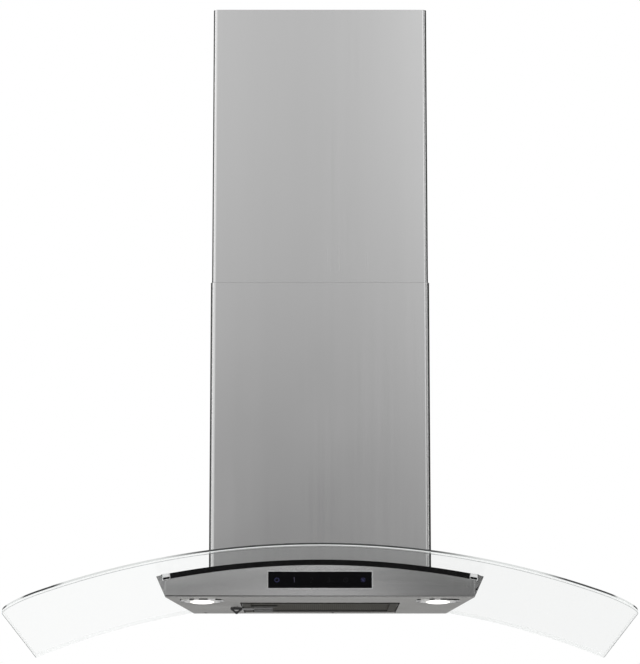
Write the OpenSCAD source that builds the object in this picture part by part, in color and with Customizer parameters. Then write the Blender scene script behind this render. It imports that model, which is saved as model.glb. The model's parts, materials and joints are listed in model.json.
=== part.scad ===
/* [Glass canopy] */
// Width of the curved glass
glass_w = 750; // [700:5:820]
// Depth of the glass from the wall to its front edge
glass_d = 500; // [480:5:540]
// Thickness of the glass
glass_t = 5; // [4:0.5:6]
// Radius of the arch at the underside of the glass
arch_r = 988; // [920:4:1200]
// Corner radius at the front of the glass
glass_corner_r = 44; // [20:1:60]
// Width of the air cut-out in the glass
air_hole_w = 190; // [160:2:200]
// Depth of the air cut-out in the glass
air_hole_d = 196; // [150:2:200]
// Thickness of the foam seal between glass and blower case
seal_t = 2; // [1:0.5:3]

/* [Lower body] */
// Distance from the wall to the front face of the body
body_d = 398; // [390:1:430]
// Width of the underside at the front
body_front_w = 371; // [365:1:390]
// Width of the underside at the wall
body_rear_w = 333; // [325:1:345]
// Drop of the underside below the glass crown at the front
body_front_drop = 45.8; // [44:0.2:56]
// Drop of the underside below the glass crown at the wall
body_rear_drop = 15.1; // [14.5:0.1:20]
// Lean of the side walls out of the vertical, in degrees
side_lean = 24; // [16:1:30]
// Angle by which the folded front corners turn back, in degrees
corner_fold = 25; // [10:1:30]
// Sheet thickness of the body
sheet_t = 1.2; // [0.8:0.1:1.5]
// Height of the black strip between the glass and the front panel
strip_h = 7; // [5:0.5:8]
// Width of the black strip
strip_w = 360; // [340:2:364]
// Width of each glass clip
clip_w = 8.6; // [6:0.2:10]

/* [Touch control] */
// Width of the touch panel
touch_w = 124; // [110:1:140]
// Height of the touch panel
touch_h = 19.4; // [16:0.2:20]
// Thickness of the touch panel
touch_t = 3.2; // [2.6:0.2:4]
// Height of the middle of the touch panel below the glass crown
touch_drop = 25; // [24:0.5:26]
// Width of the bright rim around the touch panel
rim_w = 1.4; // [1:0.1:2]

/* [Lamps] */
// Distance of each lamp from the end of the body's front edge
lamp_side_in = 41.9; // [40:0.1:47.5]
// Distance of the lamps from the front face of the body
lamp_in = 63; // [53:1:73]
// Outer radius of the lamp ring
lamp_ring_r = 27.2; // [24:0.2:29]
// Radius of the lamp lens
lamp_lens_r = 20.5; // [17:0.5:21]
// How far the lamp ring stands out of the underside
lamp_proud = 3; // [2:0.2:4]
// Height of the lamp body above the floor of the body
lamp_body_h = 15; // [10:1:18]

/* [Grease filter] */
// Distance of each side of the filter opening from the side of the blower case above it
filter_in = 29; // [29:0.5:37]
// Length of the filter opening along the underside
filter_l = 236; // [220:1:238]
// Distance from the wall to the front edge of the filter
filter_front = 268; // [266:1:274]
// Thickness of the filter
filter_t = 8; // [6:0.5:8.5]
// Width of the filter's border
filter_border = 10; // [8:0.5:14]
// Spacing of the diamond openings in the mesh
mesh_pitch = 22; // [18:1:30]

/* [Blower case] */
// Width of the blower case
case_w = 254; // [250:1:256]
// Depth of the blower case from the wall
case_d = 250; // [246:1:258]
// Height of the case top above the glass crown
case_h = 235; // [233:1:250]
// Sheet thickness of the blower case
case_t = 1.2; // [0.8:0.1:1.5]
// Spacing of the wall bolts across
wall_bolt_dx = 200; // [160:5:220]
// Spacing of the wall bolts up and down
wall_bolt_dz = 140; // [100:5:160]
// Radius of the wall bolt holes
wall_hole_r = 3.5; // [2.5:0.25:4.5]
// Height of the middle of the wall bolts above the glass crown
wall_bolt_h = 150; // [130:1:150]

/* [Blower] */
// Outer radius of the fan wheel
wheel_r = 78; // [72:0.5:79]
// Inner radius of the blades
blade_inner_r = 65; // [63.5:0.5:67]
// Width of the fan wheel
wheel_w = 104; // [90:1:105]
// Number of blades
blades = 32; // [24:1:40]
// Thickness of a blade
blade_t = 1.2; // [0.8:0.1:1.6]
// Inner width of the scroll
scroll_w = 110; // [109:1:114]
// Wall of the scroll
scroll_t = 1.6; // [1:0.1:2]
// Radius of the scroll at its tongue
tongue_r = 84; // [82:0.5:86]
// Radius of the scroll at its outlet
scroll_r = 115; // [112:0.5:117]
// Radius of the two air inlets
inlet_r = 61; // [56:0.5:61.5]
// Height of the fan axis above the glass crown
fan_h = 119; // [118:0.5:120]
// Distance of the fan axis from the wall
fan_y = 110; // [108:0.5:114]
// Radius of the motor
motor_r = 41; // [36:0.5:44]
// Length of the motor
motor_l = 54; // [48:1:56]
// Radius of the motor shaft
shaft_r = 4; // [3:0.25:5]

/* [Outlet and damper] */
// Outer radius of the outlet collar
collar_r = 75; // [74:0.5:76]
// Height of the outlet collar
collar_h = 50; // [45:1:60]
// Wall of the outlet collar
collar_t = 1.2; // [0.8:0.1:1.5]
// Distance of the outlet from the wall
outlet_y = 150; // [148:1:155]
// Radius of the damper rod
rod_r = 2; // [1.5:0.1:2.5]

/* [Chimney cover] */
// Space between the blower case and each side of the lower cover
cover_room = 11; // [11:0.5:18]
// Space between the front of the blower case and the front of the lower cover
cover_front_room = 25; // [20:1:40]
// Sheet thickness of the covers
cover_t = 1; // [0.8:0.1:1.2]
// Outer bend radius of the lower cover
bend_r = 6.5; // [3.5:0.25:8]
// Running gap between the covers
cover_gap = 0.4; // [0.3:0.05:0.6]
// Height of the lower cover's top edge above the glass crown
lower_cover_h = 370.5; // [350:0.5:420]
// Length of the upper cover
upper_cover_l = 400; // [360:1:400]
// Overlap of the covers when fully drawn out
cover_overlap = 39.9; // [30:0.1:50]

/* [Hidden] */

// Clearance between seated curved faces
seat = 0.2;
// Sideways clearance of pieces that lift out
loose = 0.5;
// Running clearance round a shaft
running = 0.05;
// Amount by which a cutter passes the face that it cuts
over = 1;
// Facets of the arch and of the other round forms
arch_fn = 360;
round_fn = 96;

// Slope of the underside, rising towards the wall
slope = atan((body_front_drop - body_rear_drop) / body_d);
// Length of the front panel's folded returns
panel_return = 14;
// Inner radius at which the foam seal and the case flange start, above the underside of the glass
seal_low = glass_t + seat;
seal_high = seal_low + seal_t;
flange_low = seal_high + seat;
flange_high = flange_low + case_t;
// Width of the case flange, and the distance of its bolts from the case walls
flange_w = 23;
flange_bolt_in = 10;
canopy_bolt_x = case_w / 2 - flange_bolt_in;
canopy_bolt_ys = [50, 235];
canopy_bolt_r = 2.5;
hole_gap = 0.3;
// Middle of the glass cut-out, measured from the wall
air_hole_y = case_d / 2;

// Places of the lamps and the filter opening that follow from the body and the blower case
lamp_x = body_front_w / 2 - lamp_side_in;
lamp_y = body_d - lamp_in;
filter_w = case_w - 2 * filter_in;

// Width of a rail's flanges, and its distance from the middle
rail_flange = 18;
rail_x = canopy_bolt_x - rail_flange / 2 - sheet_t;
rail_rear = 20;

// Filter hooks, pivot and latch
hook_l = 6.5;
hook_w = 20;
filter_recess = 0.4;
strap_w = 24;
strap_l = 42;
latch_reach = 16;
latch_depth = 9;
latch_bar_w = 8;
latch_bar_t = 2.2;
latch_guide_l = 24;
guide_wall = 1.4;

// Chimney cover sizes: the lower cover follows from the blower case, and the upper one from the lower
chimney_w = case_w + 2 * cover_room;
chimney_d = case_d + cover_front_room;
upper_w = chimney_w - 2 * (cover_t + cover_gap);
upper_d = chimney_d - cover_t - cover_gap;
upper_bend_r = bend_r - cover_t - cover_gap;
upper_low = lower_cover_h - cover_overlap;
upper_top = upper_low + upper_cover_l;
hem_l = 8;
bracket_h = 25;
bracket_t = 1.5;
bracket_ear = 30;
bracket_x = upper_w / 2 - 2 * cover_t - loose;
bracket_drop = 36;
bracket_z = upper_top - bracket_drop;
cover_screw_r = 1.8;
screw_hole_r = cover_screw_r + 0.1;
screw_head_r = 3.5;
screw_head_h = 1.4;
foot_h = 16;

// Blower layout: the tongue of the scroll and the outlet above it
tongue_a = 75;
nose_a = 10;
volute_steps = 30;
outlet_back = 35;
scroll_top = case_h - case_t - fan_h;
damper_h = 0.4 * collar_h;
rod_hole_r = rod_r + 0.1;
flap_t = 1;
flap_r = collar_r - collar_t - 0.8;
knuckle_r = rod_r + 1.4;
flap_start = knuckle_r + loose;
knuckle_l = 18;
knuckle_end = flap_r - 13;
knuckle_starts = [-knuckle_end, knuckle_end - 2 * knuckle_l - 4];
collar_flange_r = collar_r + 15;
screw_ring_r = collar_r + 8;
motor_start = 8;
motor_end = motor_start + motor_l;
bearing_r = 11;
bearing_w = 7;
motor_wall = 1.8;
bracket_arms = 3;
hub_plate_t = 2;
hub_r = 10;

// Capacitor, and the mains connection box with its gland
capacitor_r = 15;
capacitor_h = 55;
capacitor_y = 60;
box_w = 50;
box_l = 50;
box_h = 32;
box_wall = 1.5;
box_side_in = 8;
box_rear_in = 9;
gland_r = 8;
gland_hex_r = 11;
cable_r = 5;
lid_t = 1.5;

// Depth of the touch panel behind the front face, and the housing that holds it
touch_proud = 0.6;
housing_wall = 6;
housing_d = 20;

function under_z(y) = -body_front_drop + (body_d + y) * tan(slope);
function arch_z(x, r) = sqrt(r * r - x * x) - arch_r;
function volute_radius(a, add) = add + tongue_r + (scroll_r - tongue_r) * (a - tongue_a) / (360 - tongue_a);
function volute_points(add, start) = [for (i = [0:volute_steps])
    let (a = start + i * (360 - start) / volute_steps) volute_radius(a, add) * [cos(a), sin(a)]];
function reversed(list) = [for (i = [len(list) - 1:-1:0]) list[i]];

// Moves a shape measured from the glass crown into the frame of the wall bolts
module from_crown() {
    translate([0, 0, -wall_bolt_h]) children();
}

// A solid round bar along Y, under the arch, with its crown at the given height above the glass underside
module arch_solid(add) {
    translate([0, over, -arch_r]) rotate([90, 0, 0]) cylinder(r = arch_r + add, h = glass_d + 2 * over, $fn = arch_fn);
}

// A sheet bent to the arch between two heights, with a flat outline seen from above
module arched(low, high) {
    intersection() {
        difference() {
            arch_solid(high);
            arch_solid(low);
        }
        translate([0, 0, -arch_r / 4]) linear_extrude(arch_r / 2) children();
    }
}

// Places children on the arch, square to the glass, with Z = 0 at its underside
module on_arch(x, y) {
    translate([0, y, -arch_r]) rotate([0, asin(x / arch_r), 0]) translate([0, 0, arch_r]) children();
}

// Places children on the underside of the body, square to it
module on_underside(x, y) {
    translate([x, y, under_z(y)]) rotate([slope, 0, 0]) children();
}

// A rectangle with its back on the wall and round front corners
module front_rounded(w, d, r) {
    translate([-w / 2, -d + r]) square([w, d - r]);
    translate([-w / 2 + r, -d]) square([w - 2 * r, 2 * r]);
    for (side = [-1, 1]) translate([side * (w / 2 - r), -d + r]) circle(r = r, $fn = round_fn);
}

module centred_rectangle(w, h) {
    translate([-w / 2, -h / 2]) square([w, h]);
}

module canopy_bolt_holes(low, high) {
    for (side = [-1, 1], y = canopy_bolt_ys) {
        on_arch(side * canopy_bolt_x, -y) translate([0, 0, low]) cylinder(r = canopy_bolt_r + hole_gap, h = high - low, $fn = 48);
    }
}

// Glass canopy

module glass_canopy() {
    color([0.78, 0.9, 0.87, 0.4]) from_crown() difference() {
        arched(0, glass_t) front_rounded(glass_w, glass_d, glass_corner_r);
        translate([-air_hole_w / 2, -air_hole_y - air_hole_d / 2, -glass_w / 2]) cube([air_hole_w, air_hole_d, glass_w]);
        canopy_bolt_holes(-over, glass_t + over);
    }
}

module case_ring() {
    difference() {
        translate([-case_w / 2, -case_d]) square([case_w, case_d]);
        translate([-case_w / 2 + flange_w, -case_d + flange_w]) square([case_w - 2 * flange_w, case_d - 2 * flange_w]);
    }
}

module canopy_seal() {
    color("dimgray") from_crown() difference() {
        arched(seal_low, seal_high) case_ring();
        canopy_bolt_holes(seal_low - over, seal_high + over);
    }
}

module front_strip() {
    color("black") from_crown() arched(-strip_h + seat, -seat)
        translate([-strip_w / 2, -body_d + loose]) square([strip_w, strip_h]);
}

module glass_clips() {
    color("silver") from_crown() for (side = [-1, 1], x = side * (strip_w / 2 + clip_w / 2 + loose)) {
        difference() {
            arched(-strip_h + sheet_t + seat, -seat) translate([x - clip_w / 2, -body_d - sheet_t])
                square([clip_w, panel_return]);
            arched(-strip_h, -sheet_t - seat) translate([x - clip_w, -body_d + sheet_t])
                square([2 * clip_w, panel_return + over]);
        }
    }
}

// Lower body

module body_loft(inset) {
    top_z = 2;
    side_in = inset / cos(side_lean);
    front_x = body_front_w / 2 - side_in;
    rear_x = body_rear_w / 2 - side_in;
    front_top_x = front_x + (body_front_drop + top_z) * tan(side_lean);
    rear_top_x = rear_x + (body_rear_drop + top_z) * tan(side_lean);
    front_y = -body_d + inset;
    fold_y = front_y + (front_top_x - front_x) * tan(corner_fold);
    slice = 0.01;
    hull() {
        translate([0, 0, top_z - slice]) linear_extrude(slice) polygon([[-front_x, front_y], [front_x, front_y],
            [front_top_x, fold_y], [rear_top_x, -inset], [-rear_top_x, -inset], [-front_top_x, fold_y]]);
        on_underside(0, -body_d) translate([0, 0, inset]) linear_extrude(slice) polygon([[-front_x, inset],
            [front_x, inset], [rear_x, body_d / cos(slope) - inset], [-rear_x, body_d / cos(slope) - inset]]);
    }
}

module body_shell() {
    difference() {
        intersection() {
            body_loft(0);
            arch_solid(-seat);
        }
        body_loft(sheet_t);
    }
}

// Everything below the inner face of the body's floor
module floor_slab() {
    on_underside(0, -body_d) translate([-body_front_w, -body_d / 4, -body_front_drop])
        cube([2 * body_front_w, 1.5 * body_d, body_front_drop + sheet_t]);
}

module filter_place() {
    on_underside(0, -filter_front) children();
}

module hood_tray() {
    color("lightgray") from_crown() difference() {
        intersection() {
            body_shell();
            union() {
                translate([-body_front_w, -body_d + panel_return, -body_d / 2]) cube([2 * body_front_w, body_d, body_d]);
                floor_slab();
            }
        }
        filter_place() translate([-filter_w / 2, 0, -over]) cube([filter_w, filter_l, sheet_t + 2 * over]);
        for (side = [-1, 1]) on_underside(side * lamp_x, -lamp_y) translate([0, 0, -over])
            cylinder(r = lamp_ring_r - 2, h = sheet_t + 2 * over, $fn = round_fn);
    }
}

module rail_right() {
    rail_l = filter_front - rail_rear;
    difference() {
        union() {
            arched(-seat - sheet_t, -seat) translate([rail_x, -filter_front])
                square([rail_flange + sheet_t, rail_l]);
            difference() {
                intersection() {
                    translate([rail_x, -filter_front, -body_front_drop]) cube([sheet_t, rail_l, body_front_drop + sheet_t]);
                    arch_solid(-seat);
                }
                floor_slab();
            }
            on_underside(0, -filter_front) translate([rail_x, 0, sheet_t])
                cube([rail_flange / 2, rail_l, sheet_t]);
        }
        canopy_bolt_holes(-over - sheet_t - seat, over);
    }
}

module tray_rails() {
    color("gainsboro") from_crown() {
        rail_right();
        mirror([1, 0, 0]) rail_right();
    }
}

module touch_window(extra, low, high) {
    translate([0, -body_d + high, -touch_drop]) rotate([90, 0, 0]) linear_extrude(high - low)
        centred_rectangle(touch_w + 2 * extra, touch_h + 2 * extra);
}

module front_panel() {
    notch_w = strip_w + 2 * clip_w + 3 * loose;
    color("lightgray") from_crown() difference() {
        intersection() {
            body_shell();
            translate([-body_front_w, -body_d - over, -body_d / 2]) cube([2 * body_front_w, panel_return + over, body_d]);
        }
        floor_slab();
        arched(-strip_h, over) translate([-notch_w / 2, -body_d - over]) square([notch_w, panel_return + 2 * over]);
        touch_window(seat, -over, sheet_t + over);
    }
}

// Touch control

module rounded_rectangle(w, h, r) {
    centred_rectangle(w - 2 * r, h);
    centred_rectangle(w, h - 2 * r);
    for (x = [-1, 1], z = [-1, 1]) translate([x * (w / 2 - r), z * (h / 2 - r)]) circle(r = r, $fn = 32);
}

module panel_rim() {
    color("silver") from_crown() translate([0, -body_d, -touch_drop]) rotate([90, 0, 0]) linear_extrude(touch_proud + 0.2)
        difference() {
            rounded_rectangle(touch_w + 2 * rim_w + 2 * seat, touch_h + 2 * rim_w + 2 * seat, rim_w + seat);
            centred_rectangle(touch_w + 2 * seat, touch_h + 2 * seat);
        }
}

module touch_panel() {
    color("black") from_crown() touch_window(0, -touch_proud, touch_t - touch_proud);
}

module control_housing() {
    color("dimgray") from_crown() difference() {
        touch_window(housing_wall / 2, sheet_t, sheet_t + housing_d);
        touch_window(seat, 0, touch_t - touch_proud);
        touch_window(-2, 0, sheet_t + housing_d - 2);
    }
}

module control_board() {
    board_gap = 3;
    board_t = 1.6;
    color("green") from_crown() touch_window(-2 - seat, touch_t + board_gap, touch_t + board_gap + board_t);
}

// Lamps, each on the underside with Z = 0 at its outer face

module lamp_ring() {
    sleeve_r = lamp_ring_r - 2 - seat;
    round_r = lamp_proud / 2;
    rotate_extrude($fn = round_fn) {
        translate([lamp_lens_r + seat, -lamp_proud + round_r]) square([lamp_ring_r - round_r - lamp_lens_r - seat, lamp_proud - round_r]);
        translate([lamp_lens_r + seat + round_r, -lamp_proud])
            square([lamp_ring_r - 2 * round_r - lamp_lens_r - seat, lamp_proud]);
        translate([lamp_ring_r - round_r, -round_r]) circle(r = round_r, $fn = 32);
        translate([lamp_lens_r + seat + round_r, -lamp_proud + round_r]) circle(r = round_r, $fn = 32);
        translate([lamp_lens_r + seat, -over]) square([sleeve_r - lamp_lens_r - seat, sheet_t + 4 + over]);
    }
}

module lamp_lens() {
    rim = lamp_proud + 1;
    rotate_extrude($fn = round_fn) {
        square([lamp_lens_r, 2]);
        translate([0, -rim]) square([lamp_lens_r - rim, rim]);
        intersection() {
            translate([lamp_lens_r - rim, 0]) circle(r = rim, $fn = 32);
            translate([0, -rim]) square([lamp_lens_r, rim]);
        }
    }
}

module lamp_body() {
    fins = 10;
    base_z = sheet_t + 4;
    body_r = lamp_ring_r - 2 - seat;
    difference() {
        translate([0, 0, base_z]) cylinder(r = body_r, h = lamp_body_h - 4, $fn = round_fn);
        translate([0, 0, base_z - over]) cylinder(r = lamp_lens_r - 3, h = 2 + over, $fn = round_fn);
        for (i = [0:fins - 1]) rotate([0, 0, i * 360 / fins]) translate([body_r - 6, -1.5, base_z + 3])
            cube([6 + over, 3, lamp_body_h]);
    }
}

module lamp_place(side) {
    from_crown() on_underside(side * lamp_x, -lamp_y) children();
}

module lamp_ring_left() { color("whitesmoke") lamp_place(-1) lamp_ring(); }
module lamp_ring_right() { color("whitesmoke") lamp_place(1) lamp_ring(); }
module lamp_lens_left() { color("white") lamp_place(-1) lamp_lens(); }
module lamp_lens_right() { color("white") lamp_place(1) lamp_lens(); }
module lamp_body_left() { color("darkgray") lamp_place(-1) lamp_body(); }
module lamp_body_right() { color("darkgray") lamp_place(1) lamp_body(); }

// Grease filter: X across, Y along the underside from its front edge, Z into the body

module filter_frame() {
    outer_w = filter_w - 2 * loose;
    outer_l = filter_l - 2 * loose;
    groove = filter_border - 3;
    color("silver") from_crown() filter_place() {
        difference() {
            translate([-outer_w / 2, loose, filter_recess]) cube([outer_w, outer_l, filter_t]);
            translate([-outer_w / 2 + filter_border, loose + filter_border, 0])
                cube([outer_w - 2 * filter_border, outer_l - 2 * filter_border, filter_t + over]);
            translate([-outer_w / 2 + filter_border - groove, loose + filter_border - groove, filter_recess + sheet_t])
                cube([outer_w - 2 * filter_border + 2 * groove, outer_l - 2 * filter_border + 2 * groove,
                    filter_t - 2 * sheet_t]);
        }
        for (y = [filter_l / 4, filter_l * 3 / 4]) translate([outer_w / 2 - sheet_t, y - hook_w / 2, sheet_t + filter_recess])
            cube([hook_l + sheet_t, hook_w, sheet_t]);
        translate([-outer_w / 2 + over, filter_l / 2 - strap_w / 2, filter_recess]) cube([strap_l, strap_w, sheet_t]);
    }
}

module filter_mesh() {
    mesh_w = filter_w - 2 * loose - 2 * 3 - 2 * seat;
    mesh_l = filter_l - 2 * loose - 2 * 3 - 2 * seat;
    columns = floor((mesh_w - 2 * filter_border) / mesh_pitch);
    rows = floor((mesh_l - 2 * filter_border) / mesh_pitch);
    strand = 3;
    color("darkgray") from_crown() filter_place()
        translate([0, filter_l / 2, filter_recess + sheet_t + seat]) linear_extrude(filter_t - 2 * sheet_t - 2 * seat)
            difference() {
                centred_rectangle(mesh_w, mesh_l);
                for (i = [0:columns], j = [0:rows]) {
                    translate([(i - columns / 2) * mesh_pitch, (j - rows / 2) * mesh_pitch])
                        circle(r = (mesh_pitch - strand) / 2, $fn = 4);
                }
                for (i = [0:columns - 1], j = [0:rows - 1]) {
                    translate([(i + 0.5 - columns / 2) * mesh_pitch, (j + 0.5 - rows / 2) * mesh_pitch])
                        circle(r = (mesh_pitch - strand) / 2, $fn = 4);
                }
            }
}

// The latch bar runs in its guide under the filter's strap; its pull hangs just outside the filter's edge
module latch_place() {
    filter_place() translate([-filter_w / 2, filter_l / 2, 0]) children();
}

module latch_guide() {
    guide_start = strap_l - latch_guide_l - 4;
    slot_w = latch_bar_w + 2 * hole_gap;
    slot_h = latch_bar_t + 2 * filter_recess + hole_gap;
    color("whitesmoke") from_crown() latch_place() difference() {
        translate([guide_start, -slot_w / 2 - guide_wall - 2, filter_recess - slot_h - guide_wall])
            cube([latch_guide_l, slot_w + 2 * guide_wall + 4, slot_h + guide_wall]);
        translate([guide_start - over, -slot_w / 2, filter_recess - slot_h])
            cube([latch_guide_l - guide_wall + over, slot_w, slot_h + over]);
        for (side = [0, 1]) mirror([0, side, 0])
            translate([guide_start - over, slot_w / 2 + guide_wall, -slot_h - guide_wall - filter_recess])
                cube([latch_guide_l + 2 * over, 2 * guide_wall, slot_h + filter_recess]);
    }
}

module filter_latch() {
    travel = 5;
    bar_end = strap_l - 4 - guide_wall - travel - loose;
    tip = 2.5;
    color([0.1, 0.1, 0.1]) from_crown() latch_place() {
        translate([-latch_reach / 2, -latch_bar_w / 2, -filter_recess - latch_bar_t]) cube([bar_end + latch_reach / 2, latch_bar_w, latch_bar_t]);
        translate([0, latch_bar_w / 2 + 1, -filter_recess]) rotate([90, 0, 0]) linear_extrude(latch_bar_w + 2) {
            polygon([[-latch_reach, 0], [0, 0], [0, -2], [-latch_reach / 2 + tip, tip - latch_depth],
                [-latch_reach / 2 - tip, tip - latch_depth], [-latch_reach, -2]]);
            translate([-latch_reach / 2, tip - latch_depth]) circle(r = tip, $fn = 32);
        }
    }
}

// Blower case above the glass: its walls stand on a flange that is bent to the arch

module case_flange() {
    color("gainsboro") from_crown() difference() {
        arched(flange_low, flange_high) case_ring();
        canopy_bolt_holes(flange_low - over, flange_high + over);
    }
}

// The front and the sides, bent from one sheet
module blower_case() {
    color("gainsboro") from_crown() difference() {
        translate([-case_w / 2, -case_d, -body_front_drop]) cube([case_w, case_d, case_h - case_t + body_front_drop]);
        translate([-case_w / 2 + case_t, -case_d + case_t, -body_front_drop - over])
            cube([case_w - 2 * case_t, case_d, case_h + body_front_drop + 2 * over]);
        arch_solid(flange_high + running);
    }
}

module case_back() {
    color("gainsboro") from_crown() difference() {
        translate([-case_w / 2 + case_t, -case_t, -body_front_drop])
            cube([case_w - 2 * case_t, case_t, case_h - case_t + body_front_drop]);
        arch_solid(flange_high + running);
        for (x = [-1, 1], z = [-1, 1]) translate([x * wall_bolt_dx / 2, over, wall_bolt_h + z * wall_bolt_dz / 2])
            rotate([90, 0, 0]) cylinder(r = wall_hole_r, h = case_t + 2 * over, $fn = 48);
    }
}

module case_top() {
    color("gainsboro") from_crown() difference() {
        translate([-case_w / 2, -case_d, case_h - case_t]) cube([case_w, case_d, case_t]);
        translate([0, -outlet_y, case_h - case_t - over]) cylinder(r = collar_r - collar_t, h = case_t + 2 * over, $fn = round_fn);
        collar_screw_places() cylinder(r = screw_hole_r, h = 4 * over, center = true, $fn = 32);
        box_axis() cylinder(r = cable_r, h = 4 * case_t, center = true, $fn = 32);
    }
}

// Turns a flat profile so that its X points to the front, its Y up and its depth across the hood
module across() {
    from_crown() translate([0, -fan_y, fan_h]) rotate([90, 0, -90]) children();
}

module scroll_band() {
    back_wall = 1.3 * scroll_t;
    color("lightgray") across() linear_extrude(scroll_w, center = true) polygon(concat(
        [[-outlet_back, scroll_top]],
        volute_points(0, tongue_a),
        [[scroll_r, scroll_top], [scroll_r + scroll_t, scroll_top]],
        reversed(volute_points(scroll_t, tongue_a + nose_a)),
        [[-outlet_back - back_wall, scroll_top]]));
}

// One side of the scroll, from the band outwards, with its inlet lip turned inwards
module scroll_side() {
    lip_h = 4;
    lip_t = 1.2;
    translate([0, 0, scroll_w / 2]) linear_extrude(scroll_t) difference() {
        union() {
            polygon(volute_points(scroll_t, tongue_a));
            polygon([[0, 0], [scroll_r + scroll_t, 0], [scroll_r + scroll_t, scroll_top],
                [-outlet_back - scroll_t, scroll_top], tongue_r * [cos(tongue_a + 20), sin(tongue_a + 20)]]);
        }
        circle(r = inlet_r, $fn = round_fn);
    }
    rotate_extrude($fn = round_fn) translate([inlet_r, scroll_w / 2 - lip_h]) square([lip_t, lip_h + scroll_t]);
}

module scroll_side_left() { color("silver") across() scroll_side(); }
module scroll_side_right() { color("silver") across() mirror([0, 0, 1]) scroll_side(); }

// A forward curved blade: its angle leads more and more towards the rim
function blade_point(f, side) = let (
    r = blade_inner_r + f * (wheel_r - 1 - blade_inner_r),
    a = 9 * f * f + side * blade_t / 2 / r * 180 / PI) r * [cos(a), sin(a)];

module fan_wheel() {
    rim_h = 3;
    blade_steps = 3;
    color([0.25, 0.26, 0.28]) across() {
        linear_extrude(wheel_w - rim_h, center = true) for (i = [0:blades - 1]) rotate([0, 0, i * 360 / blades])
            polygon(concat([for (k = [0:blade_steps]) blade_point(k / blade_steps, -1)],
                [for (k = [blade_steps:-1:0]) blade_point(k / blade_steps, 1)]));
        for (side = [-1, 1]) translate([0, 0, side * (wheel_w - rim_h) / 2]) difference() {
            cylinder(r = wheel_r, h = rim_h, center = true, $fn = round_fn);
            cylinder(r = wheel_r - 5, h = rim_h + over, center = true, $fn = round_fn);
        }
        difference() {
            cylinder(r = wheel_r - 3, h = hub_plate_t, center = true, $fn = round_fn);
            cylinder(r = blade_inner_r - 6, h = hub_plate_t + over, center = true, $fn = round_fn);
        }
    }
}

// The plate that carries the wheel by its middle ring, with the hub on the motor's shaft
module fan_hub() {
    hub_h = 20;
    hub_low = 14;
    holes = 6;
    color([0.3, 0.31, 0.33]) across() difference() {
        union() {
            translate([0, 0, hub_plate_t / 2]) cylinder(r = blade_inner_r - loose, h = hub_plate_t, $fn = round_fn);
            translate([0, 0, -hub_low]) cylinder(r = hub_r, h = hub_h, $fn = 48);
        }
        translate([0, 0, -hub_low - over]) cylinder(r = shaft_r + running, h = hub_h + 2 * over, $fn = 48);
        for (i = [0:holes - 1]) rotate([0, 0, i * 360 / holes]) translate([blade_inner_r / 2, 0, 0])
            cylinder(r = 8, h = 2 * hub_plate_t, $fn = 32);
    }
}

// Motor: its axis is the fan's, and it reaches from the left inlet into the wheel

module motor_housing() {
    slots = 12;
    color("silver") across() difference() {
        union() {
            difference() {
                translate([0, 0, motor_start]) cylinder(r = motor_r, h = motor_l, $fn = round_fn);
                translate([0, 0, motor_start + motor_wall])
                    cylinder(r = motor_r - motor_wall, h = motor_l - 2 * motor_wall, $fn = round_fn);
            }
            for (z = [motor_start + over, motor_end - over - bearing_w]) translate([0, 0, z])
                cylinder(r = bearing_r + 2, h = bearing_w, $fn = 48);
        }
        translate([0, 0, motor_start - over]) cylinder(r = shaft_r + 2, h = motor_l + 2 * over, $fn = 48);
        for (z = [motor_start + motor_wall, motor_end - motor_wall - bearing_w - over]) translate([0, 0, z])
            cylinder(r = bearing_r + running, h = bearing_w + over, $fn = 48);
        for (i = [0:slots - 1]) rotate([0, 0, i * 360 / slots]) translate([motor_r - motor_wall - over, -2, motor_start + 8])
            cube([motor_wall + 2 * over, 4, motor_l - 16]);
    }
}

module motor_stator() {
    teeth = 12;
    color("dimgray") across() translate([0, 0, motor_start + motor_l / 2]) linear_extrude(motor_l / 2 - 2, center = true)
        difference() {
            circle(r = motor_r - motor_wall - running, $fn = round_fn);
            circle(r = motor_r / 2 + 2, $fn = round_fn);
            for (i = [0:teeth - 1]) rotate([0, 0, (i + 0.5) * 360 / teeth]) translate([motor_r / 2 + 3, -2])
                square([motor_r / 2 - motor_wall - 9, 4]);
        }
}

module motor_windings() {
    coil_h = 4;
    stack = motor_l / 2 - 2;
    color("peru") across() for (side = [-1, 1])
        translate([0, 0, motor_start + motor_l / 2 + side * (stack + coil_h) / 2]) difference() {
            cylinder(r = motor_r - motor_wall - 4, h = coil_h, center = true, $fn = round_fn);
            cylinder(r = motor_r / 2 + 4, h = coil_h + over, center = true, $fn = round_fn);
        }
}

module motor_rotor() {
    color("gray") across() translate([0, 0, motor_start + motor_l / 2]) difference() {
        cylinder(r = motor_r / 2 + 1.4, h = motor_l / 2 - 2, center = true, $fn = round_fn);
        cylinder(r = shaft_r + running, h = motor_l, center = true, $fn = 48);
    }
}

module motor_shaft() {
    color("silver") across() translate([0, 0, -14]) cylinder(r = shaft_r, h = motor_end + 12, $fn = 48);
}

module motor_bearings() {
    color("silver") across() for (z = [motor_start + motor_wall, motor_end - motor_wall - bearing_w]) translate([0, 0, z])
        difference() {
            cylinder(r = bearing_r, h = bearing_w, $fn = 48);
            translate([0, 0, -over]) cylinder(r = shaft_r + running, h = bearing_w + 2 * over, $fn = 48);
        }
}

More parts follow.
